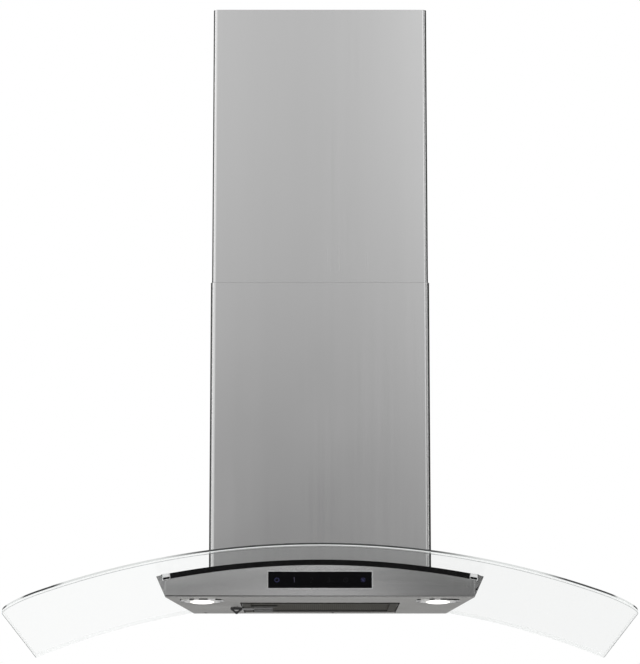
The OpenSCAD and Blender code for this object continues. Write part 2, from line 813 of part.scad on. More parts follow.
module motor_bracket() {
    plate_t = 2;
    foot_r = inlet_r + 10;
    side_z = scroll_w / 2 + scroll_t;
    color("gainsboro") across() {
        difference() {
            union() {
                translate([0, 0, motor_end]) cylinder(r = motor_r, h = plate_t, $fn = round_fn);
                for (i = [0:bracket_arms - 1]) rotate([0, 0, 90 + i * 360 / bracket_arms]) {
                    translate([0, -6, motor_end]) cube([foot_r, 12, plate_t]);
                    translate([foot_r - 4, -6, side_z]) cube([4, 12, motor_end + plate_t - side_z]);
                    translate([foot_r - 4, -6, side_z]) cube([10, 12, plate_t / 2]);
                }
            }
            translate([0, 0, motor_end - over]) cylinder(r = shaft_r + 4, h = plate_t + 2 * over, $fn = 48);
        }
    }
}

module capacitor_place() {
    from_crown() translate([case_w / 2 - case_t - capacitor_r - 2, -capacitor_y, case_h / 4]) children();
}

module capacitor() {
    color("whitesmoke") capacitor_place() {
        cylinder(r = capacitor_r, h = capacitor_h, $fn = 64);
        for (x = [-5, 5]) translate([x, -0.4, capacitor_h - over]) cube([3, 0.8, 8 + over]);
    }
}

module capacitor_clip() {
    clip_h = 12;
    color("silver") capacitor_place() translate([0, 0, capacitor_h / 3]) difference() {
        union() {
            cylinder(r = capacitor_r + seat + 1, h = clip_h, $fn = 64);
            translate([capacitor_r, -8, 0]) cube([2, 16, clip_h]);
        }
        translate([0, 0, -over]) cylinder(r = capacitor_r + seat, h = clip_h + 2 * over, $fn = 64);
    }
}

// Mains connection box on the case top, with a gland for the supply cable

module box_axis() {
    translate([case_w / 2 - box_w / 2 - box_side_in, -box_l / 2 - box_rear_in, case_h]) children();
}

module box_place() {
    from_crown() box_axis() children();
}

module junction_box() {
    color("lightgray") box_place() difference() {
        translate([-box_w / 2, -box_l / 2, 0]) cube([box_w, box_l, box_h]);
        translate([-box_w / 2 + box_wall, -box_l / 2 + box_wall, box_wall])
            cube([box_w - 2 * box_wall, box_l - 2 * box_wall, box_h]);
        cylinder(r = cable_r, h = 4 * box_wall, center = true, $fn = 32);
    }
}

module junction_lid() {
    color("silver") box_place() difference() {
        translate([-box_w / 2, -box_l / 2, box_h]) cube([box_w, box_l, lid_t]);
        translate([0, 0, box_h - over]) cylinder(r = gland_r + seat, h = lid_t + 2 * over, $fn = 48);
    }
}

module terminal_block() {
    ways = 3;
    pitch = 10;
    color("ivory") box_place() difference() {
        translate([-ways * pitch / 2, -box_l / 2 + box_wall + 1, box_wall]) cube([ways * pitch, 14, 12]);
        for (i = [0:ways - 1]) translate([(i - 1) * pitch, -box_l / 2 + box_wall + 8, box_wall + 4])
            cylinder(r = 2.5, h = 12, $fn = 32);
    }
}

module cable_gland() {
    nut_h = 5;
    dome_h = 12;
    color([0.1, 0.1, 0.1]) box_place() translate([0, 0, box_h + lid_t]) difference() {
        union() {
            translate([0, 0, -lid_t - nut_h]) cylinder(r = gland_r, h = nut_h + lid_t + over, $fn = 48);
            translate([0, 0, -lid_t - nut_h]) cylinder(r = gland_hex_r, h = nut_h - seat, $fn = 6);
            translate([0, 0, seat]) cylinder(r = gland_hex_r, h = nut_h, $fn = 6);
            translate([0, 0, nut_h]) cylinder(r1 = gland_r + 1, r2 = gland_r - 1, h = dome_h - nut_h, $fn = 48);
        }
        translate([0, 0, -lid_t - nut_h - over]) cylinder(r = cable_r, h = lid_t + nut_h + dome_h + 2 * over, $fn = 48);
    }
}

// Outlet collar and its two damper flaps

module outlet_place() {
    from_crown() translate([0, -outlet_y, case_h]) children();
}

module collar_screw_places() {
    for (a = [45:90:315]) translate([screw_ring_r * cos(a), -outlet_y + screw_ring_r * sin(a), case_h]) children();
}

module outlet_collar() {
    lip = 2.2;
    color("silver") outlet_place() difference() {
        union() {
            cylinder(r = collar_flange_r, h = collar_t, $fn = round_fn);
            cylinder(r = collar_r, h = collar_h, $fn = round_fn);
        }
        translate([0, 0, damper_h - flap_t / 2 - 0.3]) cylinder(r = collar_r - collar_t, h = collar_h, $fn = round_fn);
        translate([0, 0, -over]) cylinder(r = collar_r - collar_t - lip, h = collar_h, $fn = round_fn);
        translate([0, 0, -over]) cylinder(r = collar_r - collar_t, h = damper_h - flap_t / 2 - 0.3 - collar_t + over, $fn = round_fn);
        translate([0, 0, damper_h]) rotate([0, 90, 0]) cylinder(r = rod_hole_r, h = 2 * collar_r + 2, center = true, $fn = 32);
        for (a = [45:90:315]) translate([screw_ring_r * cos(a), screw_ring_r * sin(a), -over])
            cylinder(r = screw_hole_r, h = collar_t + 2 * over, $fn = 32);
    }
}

module damper_rod() {
    color("silver") outlet_place() translate([0, 0, damper_h]) rotate([0, 90, 0])
        cylinder(r = rod_r, h = 2 * collar_r - 0.6, center = true, $fn = 32);
}

// A half round flap in front of the rod, with its knuckles between those of the other flap
module damper_flap() {
    difference() {
        union() {
            translate([0, 0, -flap_t / 2]) linear_extrude(flap_t) intersection() {
                circle(r = flap_r, $fn = round_fn);
                translate([-flap_r, -flap_r - over]) square([2 * flap_r, flap_r + over - flap_start]);
            }
            for (x = knuckle_starts) {
                translate([x, 0, 0]) rotate([0, 90, 0]) cylinder(r = knuckle_r, h = knuckle_l, $fn = 32);
                translate([x, -flap_start - 2, -flap_t / 2]) cube([knuckle_l, flap_start + 2, flap_t]);
            }
        }
        rotate([0, 90, 0]) cylinder(r = rod_hole_r, h = 2 * flap_r, center = true, $fn = 32);
    }
}

module damper_flap_front() {
    color("lightgray") outlet_place() translate([0, 0, damper_h]) damper_flap();
}

module damper_flap_rear() {
    color("lightgray") outlet_place() translate([0, 0, damper_h]) rotate([0, 0, 180]) damper_flap();
}

// Chimney covers: bent sheets, open to the wall

module cover_profile(w, d, r) {
    difference() {
        front_rounded(w, d, r);
        translate([0, over]) front_rounded(w - 2 * cover_t, d - cover_t + over, r - cover_t);
    }
}

// The upper cover's rear edges, folded inwards
module cover_hems(w) {
    for (side = [-1, 1]) translate([side * (w / 2 - 1.5 * cover_t) - cover_t / 2, -hem_l]) square([cover_t, hem_l]);
}

module lower_cover() {
    low = arch_z(chimney_w / 2, arch_r) - over;
    color("silver") from_crown() difference() {
        translate([0, 0, low]) linear_extrude(lower_cover_h - low) cover_profile(chimney_w, chimney_d, bend_r);
        arch_solid(glass_t + seat);
        cover_screw_places(chimney_w / 2) cylinder(r = screw_hole_r, h = 2 * cover_t + 2 * over, center = true, $fn = 32);
    }
}

module upper_cover() {
    vents = 7;
    vent_w = 3;
    vent_l = 110;
    vent_pitch = 9;
    vent_top = 70;
    color("silver") from_crown() difference() {
        translate([0, 0, upper_low]) linear_extrude(upper_cover_l) {
            cover_profile(upper_w, upper_d, upper_bend_r);
            cover_hems(upper_w);
        }
        for (i = [0:vents - 1]) translate([-upper_w, -upper_d / 2 - vent_l / 2, upper_top - vent_top - i * vent_pitch])
            cube([2 * upper_w, vent_l, vent_w]);
        bracket_screw_places() cylinder(r = screw_hole_r, h = 2 * cover_t + 2 * over, center = true, $fn = 32);
    }
}

module cover_screw_places(x) {
    for (side = [-1, 1]) translate([side * x, -chimney_d / 2, foot_h - 6]) rotate([0, side * 90, 0]) children();
}

module cover_feet() {
    inner = chimney_w / 2 - cover_t - seat;
    outer_case = case_w / 2 + seat;
    foot_l = 120;
    color("gainsboro") from_crown() difference() {
        for (side = [0, 1]) mirror([side, 0, 0]) {
            arched(glass_t + seat, glass_t + seat + case_t) translate([outer_case, -chimney_d / 2 - foot_l / 2])
                square([inner - outer_case, foot_l]);
            difference() {
                translate([inner - case_t, -chimney_d / 2 - foot_l / 2, -foot_h]) cube([case_t, foot_l, 2 * foot_h]);
                arch_solid(glass_t + seat);
            }
        }
        cover_screw_places(inner) cylinder(r = screw_hole_r, h = 4 * case_t, center = true, $fn = 32);
    }
}

module bracket_screw_places() {
    for (side = [-1, 1]) translate([side * upper_w / 2, -bracket_ear + 10, bracket_z + bracket_h / 2]) rotate([0, side * 90, 0])
        children();
}

module ceiling_bracket() {
    color("gainsboro") from_crown() difference() {
        union() {
            translate([-bracket_x, -bracket_t, bracket_z]) cube([2 * bracket_x, bracket_t, bracket_h]);
            for (side = [-1, 1]) translate([side * (bracket_x - bracket_t / 2) - bracket_t / 2, -bracket_ear, bracket_z])
                cube([bracket_t, bracket_ear, bracket_h]);
        }
        for (x = [-1, 1]) translate([x * wall_bolt_dx / 2, over, bracket_z + bracket_h / 2]) rotate([90, 0, 0])
            cylinder(r = wall_hole_r, h = bracket_t + 2 * over, $fn = 48);
        bracket_screw_places() cylinder(r = screw_hole_r, h = 10 * bracket_t, center = true, $fn = 32);
    }
}

// Fasteners, with the underside of the head at Z = 0 and the shank below it

module pan_screw(l) {
    cylinder(r = screw_head_r, h = screw_head_h, $fn = 32);
    translate([0, 0, -l]) cylinder(r = cover_screw_r, h = l + screw_head_h / 2, $fn = 32);
}

module canopy_bolts() {
    head_h = 3;
    nut_h = 4;
    grip_low = -seat - sheet_t;
    color("silver") from_crown() for (side = [-1, 1], y = canopy_bolt_ys) on_arch(side * canopy_bolt_x, -y) {
        translate([0, 0, grip_low - head_h - 0.05]) cylinder(r = 4.6, h = head_h, $fn = 6);
        translate([0, 0, grip_low - head_h]) cylinder(r = canopy_bolt_r, h = flange_high - grip_low + head_h + nut_h + 2, $fn = 32);
        translate([0, 0, flange_high + 0.05]) cylinder(r = 4.6, h = nut_h, $fn = 6);
    }
}

module collar_screws() {
    color("silver") from_crown() collar_screw_places() translate([0, 0, collar_t]) pan_screw(6);
}

module cover_screws() {
    color("silver") from_crown() cover_screw_places(chimney_w / 2) pan_screw(5);
}

module bracket_screws() {
    color("silver") from_crown() bracket_screw_places() pan_screw(7);
}

glass_canopy();
canopy_seal();
front_strip();
glass_clips();
hood_tray();
tray_rails();
front_panel();
panel_rim();
touch_panel();
control_housing();
control_board();
lamp_ring_left();
lamp_ring_right();
lamp_lens_left();
lamp_lens_right();
lamp_body_left();
lamp_body_right();
filter_frame();
filter_mesh();
latch_guide();
filter_latch();
case_flange();
blower_case();
case_back();
case_top();
scroll_band();
scroll_side_left();
scroll_side_right();
fan_wheel();
fan_hub();
motor_housing();
motor_stator();
motor_windings();
motor_rotor();
motor_shaft();
motor_bearings();
motor_bracket();
capacitor();
capacitor_clip();
junction_box();
junction_lid();
terminal_block();
cable_gland();
outlet_collar();
damper_rod();
damper_flap_front();
damper_flap_rear();
lower_cover();
upper_cover();
cover_feet();
ceiling_bracket();
canopy_bolts();
collar_screws();
cover_screws();
bracket_screws();
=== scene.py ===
import json
import math

import bmesh
import bpy
from mathutils import Matrix, Vector


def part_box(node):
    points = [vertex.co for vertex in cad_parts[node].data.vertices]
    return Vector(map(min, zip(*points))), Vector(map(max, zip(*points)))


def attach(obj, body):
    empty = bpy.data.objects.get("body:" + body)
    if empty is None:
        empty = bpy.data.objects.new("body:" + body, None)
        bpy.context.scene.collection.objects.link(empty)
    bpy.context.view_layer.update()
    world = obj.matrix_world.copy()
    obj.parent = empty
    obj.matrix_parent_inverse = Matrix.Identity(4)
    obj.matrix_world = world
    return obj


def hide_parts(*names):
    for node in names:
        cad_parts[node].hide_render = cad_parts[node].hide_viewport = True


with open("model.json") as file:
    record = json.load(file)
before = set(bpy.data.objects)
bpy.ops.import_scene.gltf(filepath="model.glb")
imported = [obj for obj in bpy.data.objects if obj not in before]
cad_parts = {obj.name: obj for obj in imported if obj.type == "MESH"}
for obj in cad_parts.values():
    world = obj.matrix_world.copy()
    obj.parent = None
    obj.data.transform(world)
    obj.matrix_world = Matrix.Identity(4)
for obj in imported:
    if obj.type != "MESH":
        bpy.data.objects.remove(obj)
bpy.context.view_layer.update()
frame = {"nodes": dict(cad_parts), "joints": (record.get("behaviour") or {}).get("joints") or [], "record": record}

MM = 0.001


# Small helpers for meshes

def low_corner(node):
    return Vector(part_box(node)[0])


def high_corner(node):
    return Vector(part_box(node)[1])


def centre(node):
    return (low_corner(node) + high_corner(node)) / 2


def add_piece(name, mesh_maker, material, body, replaced=()):
    """One finished piece: its mesh, its material, the body that carries it and what it stands for."""
    mesh = bpy.data.meshes.new(name)
    shape = bmesh.new()
    mesh_maker(shape)
    bmesh.ops.recalc_face_normals(shape, faces=shape.faces)
    shape.to_mesh(mesh)
    shape.free()
    piece = bpy.data.objects.new(name, mesh)
    bpy.context.scene.collection.objects.link(piece)
    mesh.materials.append(material)
    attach(piece, body)
    if replaced:
        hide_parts(*replaced)
    return piece


def lay_skin(shape, rings):
    """Faces between rings of vertices, with the first and the last ring filled."""
    for ring, after in zip(rings, rings[1:]):
        for k in range(len(ring)):
            n = (k + 1) % len(ring)
            shape.faces.new((ring[k], ring[n], after[n], after[k]))
    shape.faces.new(rings[0])
    shape.faces.new(rings[-1][::-1])


def smooth_by_angle(piece, degrees):
    """Rounds the shading of soft bends and keeps sharp edges sharp."""
    mesh = piece.data
    mesh.shade_smooth()
    shape = bmesh.new()
    shape.from_mesh(mesh)
    for edge in shape.edges:
        if len(edge.link_faces) == 2:
            edge.smooth = edge.calc_face_angle() < math.radians(degrees)
    shape.to_mesh(mesh)
    shape.free()


# Shader groups: each effect is built once and placed in the materials with its own values

def new_group(name, inputs, outputs):
    tree = bpy.data.node_groups.new(name, "ShaderNodeTree")
    for label, kind, value in inputs:
        socket = tree.interface.new_socket(label, in_out="INPUT", socket_type=kind)
        socket.default_value = value
    for label, kind in outputs:
        tree.interface.new_socket(label, in_out="OUTPUT", socket_type=kind)
    return tree, tree.nodes.new("NodeGroupInput"), tree.nodes.new("NodeGroupOutput")


def node(tree, kind, links=(), **settings):
    """A shader node with its settings, and its inputs linked to sockets or set to values."""
    made = tree.nodes.new(kind)
    for key, value in settings.items():
        setattr(made, key, value)
    for key, value in dict(links).items():
        if isinstance(value, bpy.types.NodeSocket):
            tree.links.new(value, made.inputs[key])
        else:
            made.inputs[key].default_value = value
    return made


def calc(tree, operation, *values, **settings):
    """The result of one Math node."""
    return node(tree, "ShaderNodeMath", dict(enumerate(values)), operation=operation, **settings).outputs[0]


def times(tree, first, second):
    return calc(tree, "MULTIPLY", first, second)


def plus(tree, first, second):
    return calc(tree, "ADD", first, second)


def smooth_step(tree, value, start, end, first=0.0, last=1.0):
    """A number that goes softly from first to last while the value goes from start to end."""
    return node(tree, "ShaderNodeMapRange", {
        "Value": value, "From Min": start, "From Max": end, "To Min": first, "To Max": last,
    }, interpolation_type="SMOOTHSTEP").outputs[0]


def object_place(tree):
    return node(tree, "ShaderNodeTexCoord").outputs["Object"]


def object_axis(tree, axis):
    """The part's own X, Y or Z at the point that is shaded."""
    return node(tree, "ShaderNodeSeparateXYZ", {0: object_place(tree)}).outputs[axis]


def between(tree, factor, first, second):
    """A number between two others, which are sockets or values."""
    mix = node(tree, "ShaderNodeMix", {"Factor": factor, "A": first, "B": second}, data_type="FLOAT")
    return mix.outputs["Result"]


def distance(tree, x, y):
    flat = node(tree, "ShaderNodeCombineXYZ", {0: x, 1: y})
    return node(tree, "ShaderNodeVectorMath", {0: flat.outputs[0]}, operation="LENGTH").outputs["Value"]


def mixed_shaders(tree, share, first, second):
    return node(tree, "ShaderNodeMixShader", {0: share, 1: first, 2: second}).outputs[0]


def transparent(tree, colour):
    return node(tree, "ShaderNodeBsdfTransparent", {"Color": colour}).outputs[0]


def show(tree, surface):
    tree.links.new(surface, tree.nodes["Material Output"].inputs["Surface"])


def camera_or_through_glass(tree, path):
    return calc(tree, "MAXIMUM", path["Is Camera Ray"], path["Is Transmission Ray"])


def stretched_noise(tree, place, stretch, detail):
    scaled = node(tree, "ShaderNodeVectorMath", {0: place, 1: stretch}, operation="MULTIPLY")
    return node(tree, "ShaderNodeTexNoise", {
        "Vector": scaled.outputs[0], "Scale": 1.0, "Detail": detail, "Roughness": 0.6,
    }).outputs[0]


def brushed_grain_group():
    """Fine parallel scratches. Stretch gives the lines per metre along each axis."""
    tree, given, out = new_group(
        "Brushed grain",
        [("Stretch", "NodeSocketVector", (1500.0, 1500.0, 15.0)), ("Broad share", "NodeSocketFloat", 0.12)],
        [("Height", "NodeSocketFloat"), ("Tone", "NodeSocketFloat")],
    )
    place = object_place(tree)
    fine = stretched_noise(tree, place, given.outputs["Stretch"], 3.0)
    broad_stretch = node(tree, "ShaderNodeVectorMath", {
        0: given.outputs["Stretch"], "Scale": given.outputs["Broad share"],
    }, operation="SCALE")
    broad = stretched_noise(tree, place, broad_stretch.outputs[0], 2.0)
    tree.links.new(fine, out.inputs["Height"])
    tree.links.new(times(tree, plus(tree, fine, broad), 0.5), out.inputs["Tone"])
    return tree


def cloudy_group():
    """Slow, soft differences over a surface, from low to high."""
    tree, given, out = new_group(
        "Cloudy",
        [("Scale", "NodeSocketFloat", 8.0), ("Low", "NodeSocketFloat", 0.0),
         ("High", "NodeSocketFloat", 1.0)],
        [("Value", "NodeSocketFloat")],
    )
    noise = node(tree, "ShaderNodeTexNoise", {
        "Vector": object_place(tree), "Scale": given.outputs["Scale"], "Detail": 4.0,
    })
    ranged = node(tree, "ShaderNodeMapRange", {
        "Value": noise.outputs[0], "From Min": 0.3, "From Max": 0.7,
        "To Min": given.outputs["Low"], "To Max": given.outputs["High"],
    })
    tree.links.new(ranged.outputs[0], out.inputs["Value"])
    return tree


def edge_wear_and_highlight_group():
    """A mask that rises on outer edges: rubbed wear, and a painted edge highlight where it lightens a colour."""
    tree, given, out = new_group(
        "Edge wear and highlight",
        [("Width", "NodeSocketFloat", 0.0006), ("Gain", "NodeSocketFloat", 3.0)],
        [("Mask", "NodeSocketFloat")],
    )
    rounded = node(tree, "ShaderNodeBevel", {"Radius": given.outputs["Width"]}, samples=4)
    flat = node(tree, "ShaderNodeNewGeometry")
    same = node(tree, "ShaderNodeVectorMath", {0: rounded.outputs[0], 1: flat.outputs["Normal"]},
                operation="DOT_PRODUCT").outputs["Value"]
    raised = calc(tree, "MULTIPLY", calc(tree, "SUBTRACT", 1.0, same), given.outputs["Gain"], use_clamp=True)
    tree.links.new(raised, out.inputs["Mask"])
    return tree


def moulded_skin_group():
    """The spark-eroded texture of a moulding, or the cells of foam."""
    tree, given, out = new_group(
        "Moulded skin",
        [("Cells per metre", "NodeSocketFloat", 1400.0)],
        [("Height", "NodeSocketFloat"), ("Tone", "NodeSocketFloat")],
    )
    size = {"Vector": object_place(tree), "Scale": given.outputs["Cells per metre"]}
    cells = node(tree, "ShaderNodeTexVoronoi", size)
    noise = node(tree, "ShaderNodeTexNoise", {**size, "Detail": 2.0})
    tree.links.new(cells.outputs["Distance"], out.inputs["Height"])
    tree.links.new(noise.outputs[0], out.inputs["Tone"])
    return tree


def sheet_lean_group():
    """The slight dishing of a bent sheet: how far its face leans back at its middle and its two ends."""
    tree, given, out = new_group(
        "Sheet lean",
        [("Left", "NodeSocketFloat", 0.0), ("Middle", "NodeSocketFloat", 0.0),
         ("Right", "NodeSocketFloat", 0.0), ("Half width", "NodeSocketFloat", 0.18),
         ("Crown", "NodeSocketFloat", 0.0), ("Level", "NodeSocketFloat", -0.176)],
        [("Height", "NodeSocketFloat")],
    )
    x, _, z = node(tree, "ShaderNodeSeparateXYZ", {0: object_place(tree)}).outputs
    aside = calc(tree, "ABSOLUTE", x)
    share = smooth_step(tree, aside, 0.0, given.outputs["Half width"])
    end = between(tree, calc(tree, "GREATER_THAN", x, 0.0), given.outputs["Left"], given.outputs["Right"])
    lean = between(tree, share, given.outputs["Middle"], end)
    tipped = times(tree, lean, calc(tree, "SUBTRACT", z, given.outputs["Level"]))
    bow = times(tree, times(tree, aside, aside), given.outputs["Crown"])
    tree.links.new(times(tree, plus(tree, tipped, bow), -1.0), out.inputs["Height"])
    return tree


GRAIN_ALONG = 14.0       # lines per metre, and across the grain
GRAIN_ACROSS = 1500.0
GRAIN_DEPTH = 0.000006
FOLD_SOFTNESS = 0.0006   # the fold's own width, and the painted shade of the facets beyond it
FOLD_PAINTED_SHADE = 0.5
BRUSHED_GRAIN = brushed_grain_group()
SHEET_LEAN = sheet_lean_group()
CLOUDY = cloudy_group()
EDGE_WEAR_AND_HIGHLIGHT = edge_wear_and_highlight_group()
MOULDED_SKIN = moulded_skin_group()


# Materials

def new_material(name, constants):
    """A material with one Principled shader, whose plain values are set on its own sockets."""
    material = bpy.data.materials.new(name)
    material.use_nodes = True
    tree = material.node_tree
    shader = tree.nodes["Principled BSDF"]
    for socket, value in constants.items():
        shader.inputs[socket].default_value = value
    return material, tree, shader


def placed(tree, group, **values):
    made = tree.nodes.new("ShaderNodeGroup")
    made.node_tree = group
    for label, value in values.items():
        made.inputs[label.replace("_", " ")].default_value = value
    return made


def blend_colours(tree, factor, first, second):
    """A colour between two others, which are sockets or plain colours."""
    a, b = (c if isinstance(c, bpy.types.NodeSocket) else (*c, 1.0) for c in (first, second))
    return node(tree, "ShaderNodeMix", {"Factor": factor, "A": a, "B": b}, data_type="RGBA").outputs["Result"]


def paint(tree, shader, factor, first, second, socket="Base Color"):
    tree.links.new(blend_colours(tree, factor, first, second), shader.inputs[socket])


def cloudy_roughness(tree, shader, scale, low, high):
    cloud = placed(tree, CLOUDY, Scale=scale, Low=low, High=high)
    tree.links.new(cloud.outputs[0], shader.inputs["Roughness"])


def ranged(tree, value, low, high, start=0.3, end=0.7):
    return node(tree, "ShaderNodeMapRange", {
        "Value": value, "From Min": start, "From Max": end, "To Min": low, "To Max": high,
    }).outputs[0]


def bumped(tree, shader, height, distance, strength=1.0):
    bump = node(tree, "ShaderNodeBump", {"Height": height, "Distance": distance, "Strength": strength})
    tree.links.new(bump.outputs[0], shader.inputs["Normal"])


def brushed_steel(name, grain_way, dark, light, smoothness, lean, edge_tint=(1.0, 1.0, 1.0), fold_x=None):
    """Stainless sheet whose grain runs along grain_way, and whose face leans as the Sheet lean group says.
    Beyond fold_x, where the ends are folded back, the base colour is darker: painted shade on the folded facets."""
    material, tree, shader = new_material(name, {
        "Metallic": 1.0, "Anisotropic": 0.5, "Anisotropic Rotation": 0.25, "Specular Tint": (*edge_tint, 1.0),
    })
    stretch = tuple(GRAIN_ALONG if way else GRAIN_ACROSS for way in grain_way)
    grain = placed(tree, BRUSHED_GRAIN, Stretch=stretch)
    way = node(tree, "ShaderNodeCombineXYZ", {0: grain_way[0], 1: grain_way[1], 2: grain_way[2]})
    tree.links.new(way.outputs[0], shader.inputs["Tangent"])
    colour = blend_colours(tree, ranged(tree, grain.outputs["Tone"], 0, 1), dark, light)
    # Past fold_x the base colour is darkened: painted shade on the folded end facets
    if fold_x:
        aside = calc(tree, "ABSOLUTE", object_axis(tree, "X"))
        beyond = smooth_step(tree, aside, fold_x - FOLD_SOFTNESS, fold_x + FOLD_SOFTNESS)
        colour = blend_colours(tree, beyond, colour, tuple(FOLD_PAINTED_SHADE * c for c in dark))
    tree.links.new(colour, shader.inputs["Base Color"])
    cloud = placed(tree, CLOUDY, Scale=6.0, Low=smoothness, High=smoothness + 0.04)
    rough = plus(tree, cloud.outputs[0], times(tree, grain.outputs["Tone"], 0.06))
    tree.links.new(rough, shader.inputs["Roughness"])
    leaning = placed(tree, SHEET_LEAN, **lean)
    form = node(tree, "ShaderNodeBump", {"Height": leaning.outputs[0], "Distance": 1.0})
    bump = node(tree, "ShaderNodeBump", {
        "Height": grain.outputs["Height"], "Distance": GRAIN_DEPTH, "Normal": form.outputs[0],
    })
    tree.links.new(bump.outputs[0], shader.inputs["Normal"])
    return material


def galvanised_sheet():
    material, tree, shader = new_material("galvanised_sheet", {"Metallic": 1.0})
    spangle = node(tree, "ShaderNodeTexVoronoi", {"Vector": object_place(tree), "Scale": 170.0})
    grey = node(tree, "ShaderNodeSeparateColor", {0: spangle.outputs["Color"]}).outputs[0]
    paint(tree, shader, grey, (0.48, 0.50, 0.52), (0.66, 0.67, 0.68))
    tree.links.new(ranged(tree, grey, 0.32, 0.48, 0.0, 1.0), shader.inputs["Roughness"])
    worn_and_highlit = placed(tree, EDGE_WEAR_AND_HIGHLIGHT)
    bumped(tree, shader, plus(tree, spangle.outputs["Distance"], worn_and_highlit.outputs[0]), 0.00003, 0.5)
    return material


def bright_steel():
    material, tree, shader = new_material("bright_steel", {"Metallic": 1.0})
    cloudy_roughness(tree, shader, 60.0, 0.10, 0.17)
    worn_and_highlit = placed(tree, EDGE_WEAR_AND_HIGHLIGHT, Width=0.0004).outputs[0]
    # Outer edges painted lighter: wear and a painted edge highlight
    paint(tree, shader, worn_and_highlit, (0.72, 0.72, 0.73), (0.9, 0.9, 0.9))
    grain = placed(tree, BRUSHED_GRAIN, Stretch=(900.0, 900.0, 900.0))
    bumped(tree, shader, grain.outputs["Height"], 0.000004)
    return material


def plain_metal(name, dark, light, low_rough, high_rough, cells, bump_depth, edge_tint=(1.0, 1.0, 1.0)):
    """A cast, drawn or plated metal with a little surface texture."""
    material, tree, shader = new_material(name, {"Metallic": 1.0, "Specular Tint": (*edge_tint, 1.0)})
    skin = placed(tree, MOULDED_SKIN, Cells_per_metre=cells)
    paint(tree, shader, skin.outputs["Tone"], dark, light)
    cloudy_roughness(tree, shader, 30.0, low_rough, high_rough)
    bumped(tree, shader, skin.outputs["Height"], bump_depth)
    return material


def moulding(name, dark, light, low_rough, high_rough, cells=1400.0, bump_depth=0.00004, constants=None):
    """Plastic, foam or lacquer: a fine skin, with edges painted slightly lighter for wear and as a painted
    highlight.
    """
    material, tree, shader = new_material(name, constants or {})
    skin = placed(tree, MOULDED_SKIN, Cells_per_metre=cells)
    worn_and_highlit = placed(tree, EDGE_WEAR_AND_HIGHLIGHT, Width=0.0005, Gain=1.5)
    speck = calc(tree, "ADD", skin.outputs["Tone"], worn_and_highlit.outputs[0], use_clamp=True)
    paint(tree, shader, speck, dark, light)
    cloudy_roughness(tree, shader, 40.0, low_rough, high_rough)
    bumped(tree, shader, skin.outputs["Height"], bump_depth)
    return material


PANE_LEFT_PAINTED_LIGHT = (0.982, 0.986, 0.984)     # what the pane passes at its left and at its right: painted shade, darker towards the right
PANE_RIGHT_PAINTED_SHADE = (0.957, 0.961, 0.959)


def clear_glass():
    """Float glass that lets light through its shadow, with a faint film that handling leaves."""
    material, tree, shader = new_material("clear_glass", {
        "Base Color": (0.993, 0.998, 0.997, 1.0), "Transmission Weight": 1.0, "Metallic": 0.0, "IOR": 1.5,
    })
    cloudy_roughness(tree, shader, 14.0, 0.0, 0.012)
    grazing = node(tree, "ShaderNodeLayerWeight", {"Blend": 0.5}).outputs["Facing"]
    calm = ranged(tree, grazing, 0.0, 0.97, 0.55, 0.78)
    upright = node(tree, "ShaderNodeSeparateXYZ", {0: node(tree, "ShaderNodeNewGeometry").outputs["Normal"]})
    cut_wall = ranged(tree, calc(tree, "ABSOLUTE", upright.outputs["Z"]), 1.0, 0.0, 0.3, 0.6)
    open_share = calc(tree, "MAXIMUM", calm, cut_wall)
    # The pane passes less towards its right: painted shade across the glass
    to_right = smooth_step(tree, object_axis(tree, "X"), -0.1, 0.22)
    painted_pane_shade = blend_colours(tree, to_right, PANE_LEFT_PAINTED_LIGHT, PANE_RIGHT_PAINTED_SHADE)
    pane = mixed_shaders(tree, open_share, shader.outputs[0], transparent(tree, painted_pane_shade))
    in_shadow = node(tree, "ShaderNodeLightPath").outputs["Is Shadow Ray"]
    show(tree, mixed_shaders(tree, in_shadow, pane, transparent(tree, (0.96, 0.97, 0.968, 1.0))))
    return material


def black_glass():
    material, tree, shader = new_material("black_glass", {
        "Base Color": (0.003, 0.003, 0.0035, 1.0), "IOR": 1.5, "Specular IOR Level": 0.1,
    })
    cloudy_roughness(tree, shader, 90.0, 0.06, 0.12)
    return material


def ground_edge_painted_glow(name, share):
    """The ground flat of the glass edge, pale and silky, and glowing a little as painted light. Share is how much
    of what is behind it it hides.
    """
    material, tree, shader = new_material(name, {
        "Alpha": share, "Emission Color": (1.0, 1.0, 1.0, 1.0), "Emission Strength": 0.2,
    })
    grain = placed(tree, BRUSHED_GRAIN, Stretch=(60.0, 60.0, 900.0))
    paint(tree, shader, grain.outputs["Tone"], (0.80, 0.83, 0.82), (0.95, 0.965, 0.96))
    cloudy_roughness(tree, shader, 50.0, 0.35, 0.5)
    return material


def lower_line():
    """The lower arris along the front, painted grey before the covers and pale beyond them: a painted reflection
    of what stands behind the glass.
    """
    material, tree, shader = new_material("lower_line", {"Specular IOR Level": 0.2})
    shade = smooth_step(tree, calc(tree, "ABSOLUTE", object_axis(tree, "X")), 0.126, 0.142)
    paint(tree, shader, shade, (0.17, 0.175, 0.173), (0.62, 0.65, 0.64))
    cloudy_roughness(tree, shader, 50.0, 0.3, 0.4)
    return material


# Where the upper arris is painted dark towards the corners, a painted reflection, in metres from the middle:
# start, full, fade and end
DARK_ON_RIGHT = (0.255, 0.290, 0.341, 0.349)
DARK_ON_LEFT = (0.296, 0.312, 0.343, 0.351)
DARK_AT_CORNERS = (0.366, 0.369, 0.373, 0.3745)
DARK_MIDDLE_FADE = (0.126, 0.195)


